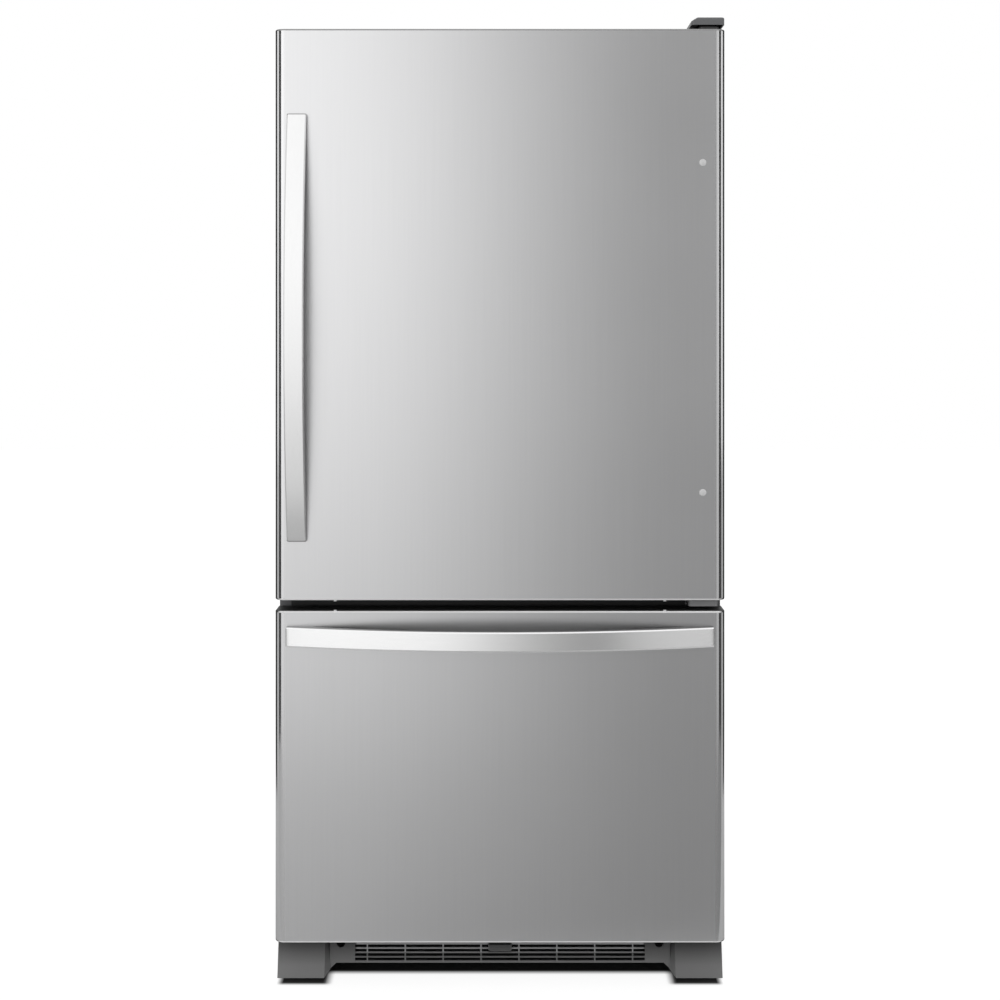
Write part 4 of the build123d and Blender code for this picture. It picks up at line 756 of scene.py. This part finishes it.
# %% A small lathe
def turned(profile, origin, axis, steps=48, ripple=None):
    """Points and faces of a profile of (radius, height) pairs turned about an axis."""
    axis = Vector(axis).normalized()
    side = axis.orthogonal().normalized()
    other = axis.cross(side)
    points = []
    for i in range(steps):
        angle = 2 * math.pi * i / steps
        scale = ripple(i) if ripple else 1.0
        out = side * math.cos(angle) + other * math.sin(angle)
        for radius, height, *free in profile:
            grow = scale if free else 1.0
            points.append(tuple(Vector(origin) + out * radius * grow + axis * height))
    return points, bands(steps, len(profile), loop=True, closed=False)


def join(parts):
    """Several (points, faces) pairs as one pair."""
    points, faces = [], []
    for more_points, more_faces in parts:
        start = len(points)
        points += more_points
        faces += [tuple(start + i for i in face) for face in more_faces]
    return points, faces


plug_low, plug_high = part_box("hole_plugs")
plug_radius = (plug_high[0] - plug_low[0]) / 2
plug_x = (plug_high[0] + plug_low[0]) / 2
plug_stem, plug_reach = 0.0037, 0.0078
rise = door_front - plug_low[1]
dome = [(0.80 * math.sin(t), 0.62 + 0.38 * math.cos(t)) for t in (0.5, 1.0, 1.4)]
rim = [(0.84, 0.60), (0.94, 0.55), (1.0, 0.3), (1.0, 0.0)]
plug_profile = [(0.0, rise)] + [(plug_radius * r, rise * h) for r, h in dome + rim]
plug_profile += [(plug_stem, 0.0), (plug_stem, -plug_reach), (0.0, -plug_reach)]
plugs = [
    turned(plug_profile, (plug_x, door_front, z), (0, -1, 0), 40)
    for z in (plug_low[2] + plug_radius, plug_high[2] - plug_radius)
]
rebuilt("hole_plugs", "domed", join(plugs))
print("plugs:", len(plugs))

# %% [markdown]
# ### Legs and rollers
# A levelling leg is a moulded foot on a threaded stem. The thread is turned as close rings, which
# at this size can't be told from a helix. A roller is turned too: a broad tread with a rounded
# shoulder, a hollow in each side and a bore for its axle.

# %% Legs and rollers
leg_foot, foot_height = 0.018, 0.009
leg_stem, thread_depth, thread_pitch = 0.006, 0.0007, 0.0018
thread_start = foot_height + 0.001
for node in ("leg_left", "leg_right"):
    low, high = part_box(node)
    center = ((low[0] + high[0]) / 2, (low[1] + high[1]) / 2, low[2])
    top = high[2] - low[2]
    profile = [(0.0, 0.0), (leg_foot - 0.002, 0.0), (leg_foot, 0.0015), (leg_foot, 0.0065)]
    profile += [(leg_foot - 0.0008, 0.0082), (leg_foot - 0.0025, foot_height)]
    profile += [(0.0095, foot_height), (leg_stem, foot_height + 0.0004)]
    turns = int((top - thread_start - 0.002) / thread_pitch)
    for i in range(turns):
        start = thread_start + i * thread_pitch
        profile += [(leg_stem, start), (leg_stem - thread_depth, start + thread_pitch / 2)]
    profile += [(leg_stem, top - 0.001), (leg_stem - 0.001, top), (0.0, top)]
    rebuilt(node, "threaded", turned(profile, center, (0, 0, 1), 40))

axle_bore = 0.00408
for node in ("roller_left", "roller_right"):
    low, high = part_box(node)
    radius, width = (high[2] - low[2]) / 2, high[0] - low[0]
    center = (low[0], (low[1] + high[1]) / 2, (low[2] + high[2]) / 2)
    side = [(axle_bore, 0.0), (0.0095, 0.0), (0.0108, 0.0034), (0.0170, 0.0034), (0.0184, 0.0)]
    side += [(radius - 0.002, 0.0), (radius - 0.0006, 0.0006), (radius, 0.002)]
    profile = side + [(r, width - h) for r, h in side[::-1]] + side[:1]
    rebuilt(node, "turned", turned(profile, center, (1, 0, 0)))
print("legs and rollers turned")

# %% [markdown]
# ### Walls between two grids
# A blade and a pressed sheet are both thin sheets. Each is given as two grids of points, one for
# each side. One function lays faces over both and closes the rim between them.


# %% A closed shell from two grids
def shell(front, back, row):
    """Points and faces of the wall between two grids that are listed row by row."""
    rows, shift = len(front) // row, len(front)
    faces = bands(rows, row, closed=False)
    faces += [tuple(shift + i for i in face[::-1]) for face in faces]
    rim = list(range(row)) + [i * row + row - 1 for i in range(1, rows)]
    rim += [(rows - 1) * row + j for j in range(row - 2, -1, -1)]
    rim += [i * row for i in range(rows - 2, 0, -1)]
    faces += [(a, b, shift + b, shift + a) for a, b in zip(rim, rim[1:] + rim[:1])]
    return front + back, faces


# %% [markdown]
# ### Fans
# A moulded fan blade is a thin twisted sheet: steep at the hub and flatter at the tip, because
# the tip moves faster. Each blade is a grid from hub to tip whose pitch and camber follow that,
# given a wall by a second grid behind it, and five of them stand round a turned hub.


# %% Fan blades
def blade(turn, hub, tip, depth, wall=0.0016, across=8, along=10):
    """One blade about the Z axis, as a closed shell."""
    fronts, backs = [], []
    for i in range(across + 1):
        share = i / across
        root = hub - 0.001
        radius = root + (tip - root) * share
        spread = math.radians(27 - 3 * share)
        for j in range(along + 1):
            t = 2 * j / along - 1
            round_tip = 1.0 - 0.10 * share * abs(t) ** 3
            angle = turn + t * spread
            height = (0.46 - 0.10 * share) * depth * t + 0.05 * depth * (1 - t * t)
            x, y = radius * round_tip * math.cos(angle), radius * round_tip * math.sin(angle)
            thin = wall * (0.5 if abs(t) > 0.95 else 1.0) / 2
            fronts.append((x, y, height + thin))
            backs.append((x, y, height - thin))
    return shell(fronts, backs, along + 1)


def fan(node, center, axis, tip, depth=0.016, shaft=0.00208, blades=5):
    hub = tip * 0.3
    profile = [(shaft, -depth / 2), (hub - 0.0012, -depth / 2), (hub, -depth / 2 + 0.0012)]
    profile += [(hub, depth / 2 - 0.003), (hub - 0.001, depth / 2 - 0.001), (hub - 0.003, depth / 2)]
    profile += [(shaft, depth / 2), (shaft, -depth / 2)]
    parts = [turned(profile, (0, 0, 0), (0, 0, 1), 40)]
    parts += [blade(2 * math.pi * i / blades, hub, tip, depth) for i in range(blades)]
    points, faces = join(parts)
    turn = Vector((0, 0, 1)).rotation_difference(Vector(axis))
    points = [tuple(turn @ Vector(p) + Vector(center)) for p in points]
    return rebuilt(node, "bladed", (points, faces), smooth_angle=50)


fan("evaporator_fan", center=(0.0, 0.3202, 0.6060), axis=(0, 1, 0), tip=0.048)
fan("condenser_fan", center=(0.0960, 0.3115, 0.1448), axis=(1, 0, 0), tip=0.068)
print("fans bladed")

# %% [markdown]
# ### Temperature dial
# The dial has a knurled skirt and a grip bar, and plain numbers are raised on its face on either
# side of the bar. The skirt is turned with a ripple; the numbers are outlines filled and pulled
# out by a tenth of a millimetre.

# %% Dial and its numbers
dial_low, dial_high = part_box("temperature_dial")
dial_x, dial_z = (dial_low[0] + dial_high[0]) / 2, (dial_low[2] + dial_high[2]) / 2
dial_radius, dial_depth, grip_rise = (dial_high[0] - dial_low[0]) / 2, 0.008, 0.004
dial_back = dial_low[1] + dial_depth + grip_rise
dial_shaft, shaft_end = 0.004, dial_back - dial_high[1]
profile = [(0.0, shaft_end), (dial_shaft, shaft_end), (dial_shaft, 0.0)]
profile += [(dial_radius - 0.0004, 0.0), (dial_radius, 0.0006, 1), (dial_radius, 0.0052, 1)]
profile += [(dial_radius - 0.0005, 0.0066), (dial_radius - 0.0018, dial_depth), (0.0, dial_depth)]


def ripple(step):
    """Share of the full radius at a step of the turn: two steps out, two steps in."""
    return 0.985 if step % 4 < 2 else 1.0


knurled = turned(profile, (dial_x, dial_back, dial_z), (0, -1, 0), 120, ripple)


def grip_bar(half_width, half_length, rise, taper=0.0008, cut=0.0008, sunk=0.0002):
    """A bar across the dial, narrower at its top, its corners cut and its foot sunk in."""
    face = dial_back - dial_depth
    levels = [(0.0, 0.0), (rise - cut, taper * 0.6), (rise, taper * 1.6)]
    points = []
    for height, inset in levels:
        w, h = half_width - inset, half_length - inset
        ring = [(w, h - cut), (w - cut, h), (cut - w, h), (-w, h - cut)]
        ring += [(-w, cut - h), (cut - w, -h), (w - cut, -h), (w, cut - h)]
        points += [(dial_x + x, face + sunk - height, dial_z + z) for x, z in ring]
    return points, bands(3, 8) + [tuple(range(8)), tuple(range(16, 24))]


parts = [knurled, grip_bar(0.0025, dial_radius - 0.002, grip_rise)]
rebuilt("temperature_dial", "knurled", join(parts))


def number(text, x, z, y, size):
    """A raised number that faces forward."""
    outline = bpy.data.curves.new("number_" + text, "FONT")
    outline.body = text
    outline.size = size
    outline.extrude = 0.0001
    outline.align_x = "CENTER"
    outline.align_y = "CENTER"
    holder = bpy.data.objects.new("number_" + text, outline)
    bpy.context.scene.collection.objects.link(holder)
    shape = bpy.data.meshes.new_from_object(holder)
    bpy.data.objects.remove(holder)
    points = [(x + p.co[0], y - p.co[2], z + p.co[1]) for p in shape.vertices]
    return points, [tuple(f.vertices) for f in shape.polygons]


number_ring, number_size = 0.0118, 0.0058
marks = []
for i, angle in enumerate((-140, -90, -40, 40, 90, 140)):
    turn = math.radians(angle)
    x, z = dial_x + number_ring * math.sin(turn), dial_z + number_ring * math.cos(turn)
    marks.append(number(str(i + 1), x, z, dial_back - dial_depth, number_size))
numbers = bpy.data.objects.new("dial_numbers", mesh_from("dial_numbers_mesh", *join(marks)))
bpy.context.scene.collection.objects.link(numbers)
numbers.data.materials.append(finishes["grey_plastic"])
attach(numbers, body_of["temperature_dial"])
print("dial made, numbers:", len(marks))

# %% [markdown]
# ### Screws
# The top bracket and the machine cover are held by hex washer screws: a thin round washer, six
# flats with a chamfered rim, and a slight dish in the top. The frame gives their places, so each
# loose island of the node's mesh is found and a screw is turned where it stands.


# %% Screws
def islands(mesh):
    """Boxes of the separate pieces of a mesh."""
    work = bmesh.new()
    work.from_mesh(mesh)
    bmesh.ops.remove_doubles(work, verts=work.verts, dist=1e-5)
    left = set(work.verts)
    boxes = []
    while left:
        seed = [left.pop()]
        found = []
        while seed:
            vert = seed.pop()
            found.append(vert.co.copy())
            for edge in vert.link_edges:
                other = edge.other_vert(vert)
                if other in left:
                    left.remove(other)
                    seed.append(other)
        boxes.append(tuple((min(c[k] for c in found), max(c[k] for c in found)) for k in range(3)))
    work.free()
    return sorted(boxes)


def hex_screw(origin, axis, head, rise, shank, reach):
    washer = [(0.0, -reach), (shank, -reach), (shank, 0.0), (head, 0.0), (head, rise * 0.28)]
    washer += [(head * 0.80, rise * 0.40), (0.0, rise * 0.40)]
    flats = [(head * 0.78, rise * 0.30), (head * 0.78, rise * 0.88), (head * 0.70, rise)]
    flats += [(head * 0.45, rise), (head * 0.30, rise * 0.84), (0.0, rise * 0.84)]
    return join([turned(washer, origin, axis, 36), turned(flats, origin, axis, 6)])


head_top, head_back = 0.003, 0.002
shank_top, shank_back = 0.004, 0.002
screws = []
for (x0, x1), (y0, y1), (z0, z1) in islands(frame["nodes"]["screws"].data):
    x, y, z = (x0 + x1) / 2, (y0 + y1) / 2, (z0 + z1) / 2
    radius = (x1 - x0) / 2
    if z > top_line[0]:
        seat = z1 - head_top
        screws.append(hex_screw((x, y, seat), (0, 0, 1), radius, head_top, shank_top, seat - z0))
    else:
        seat = y1 - head_back
        screws.append(hex_screw((x, seat, z), (0, 1, 0), radius, head_back, shank_back, seat - y0))
rebuilt("screws", "hexed", join(screws), smooth_angle=25)
print("screws:", len(screws))

# %% [markdown]
# ### Back panel
# A sheet this large would drum, so shallow fields are pressed into it. The panel is a grid whose
# lines lie on the fields' borders; the points inside a field are pushed in by the field's depth,
# and the strip between two lines becomes its sloped edge.


# %% Pressed fields in the back panel
def field_lines(low, high, margin, between, slope, fields):
    """Grid lines along one axis, each with 1 where it lies inside a field."""
    width = (high - low - 2 * margin - (fields - 1) * between) / fields
    lines = [(low, 0)]
    for i in range(fields):
        start = low + margin + i * (width + between)
        lines += [(start, 0), (start + slope, 1), (start + width - slope, 1), (start + width, 0)]
    return lines + [(high, 0)]


def pressed_sheet(node, depth, *spacing):
    low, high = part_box(node)
    xs = field_lines(low[0], high[0], *spacing, fields=2)
    zs = field_lines(low[2], high[2], *spacing, fields=3)
    front, back = [], []
    for z, in_z in zs:
        for x, in_x in xs:
            back.append((x, high[1] - depth * (in_x and in_z), z))
            front.append((x, low[1], z))
    return rebuilt(node, "pressed", shell(back, front, len(xs)), smooth_angle=1)


field_depth, field_margin, field_gap, field_slope = 0.0007, 0.045, 0.040, 0.010
pressed_sheet("back_panel", field_depth, field_margin, field_gap, field_slope)
print("back panel pressed")

# %% [markdown]
# ## Camera and light
# The photograph is a near-frontal product shot from about three metres, with the lens shifted
# down, so the upright edges stay upright. A white world gives every finish the colour it is
# written with. The metal needs more, because it shows what stands around it: a studio hangs a
# graded card in front of steel, bright at one side and grey at the other, and black cards beside
# it that draw the edges. The cards here do that. They are seen by reflections alone, so they
# neither light the plastics nor stand in any picture.

# %% Camera
camera_data = bpy.data.cameras.new("camera")
camera = bpy.data.objects.new("camera", camera_data)
bpy.context.scene.collection.objects.link(camera)
camera.location = (0.0, -3.3765, 1.228)
camera.rotation_euler = (math.radians(90), 0, 0)
camera_data.lens = 58.8
camera_data.sensor_width = 36.0
camera_data.shift_y = -0.18
camera_data.clip_end = 60
bpy.context.scene.camera = camera
print("camera at", [round(v, 3) for v in camera.location])

# %% World
world = bpy.data.worlds.new("white")
bpy.context.scene.world = world
world.use_nodes = True
background = world.node_tree.nodes["Background"]
background.inputs["Color"].default_value = (1.0, 1.0, 1.0, 1.0)
background.inputs["Strength"].default_value = 1.0


# %% Planes that aren't part of the object
def stage_plane(name, corners, finish):
    mesh = bpy.data.meshes.new(name)
    mesh.from_pydata(corners, [], [tuple(range(len(corners)))])
    plane = bpy.data.objects.new(name, mesh)
    mesh.materials.append(finish.material)
    bpy.context.scene.collection.objects.link(plane)
    return plane


def card(name, start, end, low, high, finish):
    """An upright card between two plan points, seen by reflections alone."""
    (x0, y0), (x1, y1) = start, end
    plane = stage_plane(name, [(x0, y0, low), (x1, y1, low), (x1, y1, high), (x0, y0, high)], finish)
    plane.visible_camera = False
    plane.visible_diffuse = False
    plane.visible_shadow = False
    return plane


# %% [markdown]
# ### Floor
# The floor is pale. The camera sees it white, as in the photograph, with a painted shadow,
# nearly black, in the footprint, where no light would get in under the cabinet. Reflections see
# it a plain grey that falls off to the right, which is what darkens the lower door towards the
# ground, and a brighter strip right before the doors, which lights the lower door's last
# centimetres.

# %% Floor
floor = Finish("floor", 0.60, 0.9, emission_strength=1.0)
seen = floor.node("ShaderNodeLightPath", output="Is Camera Ray")
side_way = floor.away_from_middle()
depth_way = floor.axis("Y")
# These masks draw a painted shadow under the cabinet: its front edge, its edge at the feet and its sides.
shadow_front_edge = floor.beyond(depth_way, -0.312, -0.294)
shadow_feet_edge = floor.beyond(depth_way, -0.362, -0.351)
at_feet = floor.between(side_way, 0.310, 0.325)
inside = 1.0 - floor.between(side_way, 0.404, 0.414)
behind = 1.0 - floor.between(depth_way, 0.40, 0.47)
# The painted shadow darkens the floor for the camera and in reflections too.
painted_floor_shadow = (shadow_front_edge * (1.0 - at_feet) + shadow_feet_edge * at_feet) * inside * behind
lift = floor.blend(painted_floor_shadow, 0.91, 0)
white = floor.blend(painted_floor_shadow, 0.14, 0.01)
mirrored = floor.blend(floor.beyond(floor.axis("X"), -0.35, 0.35), 0.54, 0.295)
near = floor.beyond(depth_way, -0.58, -0.56, shift=1.0)
mirrored = floor.blend(painted_floor_shadow, floor.blend(near, mirrored, 0.60), 0.01)
floor.drive("Base Color", floor.blend(seen, mirrored, white))
floor.drive("Emission Color", floor.blend(seen, 0, lift))
reach = 12
stage_plane("floor", [(x * reach, y * reach, 0) for x, y in ((-1, -1), (1, -1), (1, 1), (-1, 1))], floor)
print("floor laid")


# %% Cards for the metal
def glowing(name, strength):
    return Finish(name, 0, 0.9, emission_strength=strength, specular_ior_level=0.0)


graded = glowing("graded_card", 1.35)
graded_side, graded_height = 1.4, 2.6
across = (graded.axis("X") + graded_side) / (2 * graded_side)
upwards = graded.axis("Z") / graded_height
side_stops = [(0.0, 0.92), (0.20, 0.86), (0.30, 0.80), (0.36, 0.78), (0.44, 0.60), (0.50, 0.41)]
side_stops += [(0.54, 0.31), (0.58, 0.21), (0.66, 0.07), (0.70, 0.01), (0.745, 0.0)]
side_stops += [(0.78, 0.26), (0.84, 0.36), (1.0, 0.46)]
side = graded.ramp(across, side_stops)
height_stops = [(0.0, 0.47), (0.09, 0.58), (0.19, 0.63), (0.32, 0.79), (0.43, 0.90), (0.60, 1.0), (1.0, 0.97)]
height = graded.ramp(upwards, height_stops)
card_fill, card_side, card_top = 0.20, 1.75, 3.4
graded.drive("Emission Color", side * height + card_fill)
card("card_front", (-card_side, -1.9), (card_side, -1.9), 0.0, card_top, graded)

dark = glowing("dark_card", 0.05)
dark.shader.inputs["Emission Color"].default_value = (1, 1, 1, 1)
dark_cards = {"card_": ((1.78, -1.72), (2.12, -0.86)), "card_back_": ((1.60, -0.05), (1.10, 1.60))}
for side_name, sign in (("left", -1), ("right", 1)):
    for name, ends in dark_cards.items():
        card(name + side_name, *[(sign * x, y) for x, y in ends], 0.0, graded_height, dark)

# %% Soft key light
key = bpy.data.lights.new("key", "AREA")
key.shape = "RECTANGLE"
key.size = key.size_y = 1.6
key.energy = 6
key_object = bpy.data.objects.new("key", key)
key_object.location = (-1.5, -2.4, 2.3)
aim = Vector((-0.3, -0.38, 1.3)) - key_object.location
key_object.rotation_euler = aim.to_track_quat("-Z", "Y").to_euler()
key_object.visible_glossy = False
bpy.context.scene.collection.objects.link(key_object)
bpy.context.scene.view_settings.view_transform = "Standard"
print("stage set")
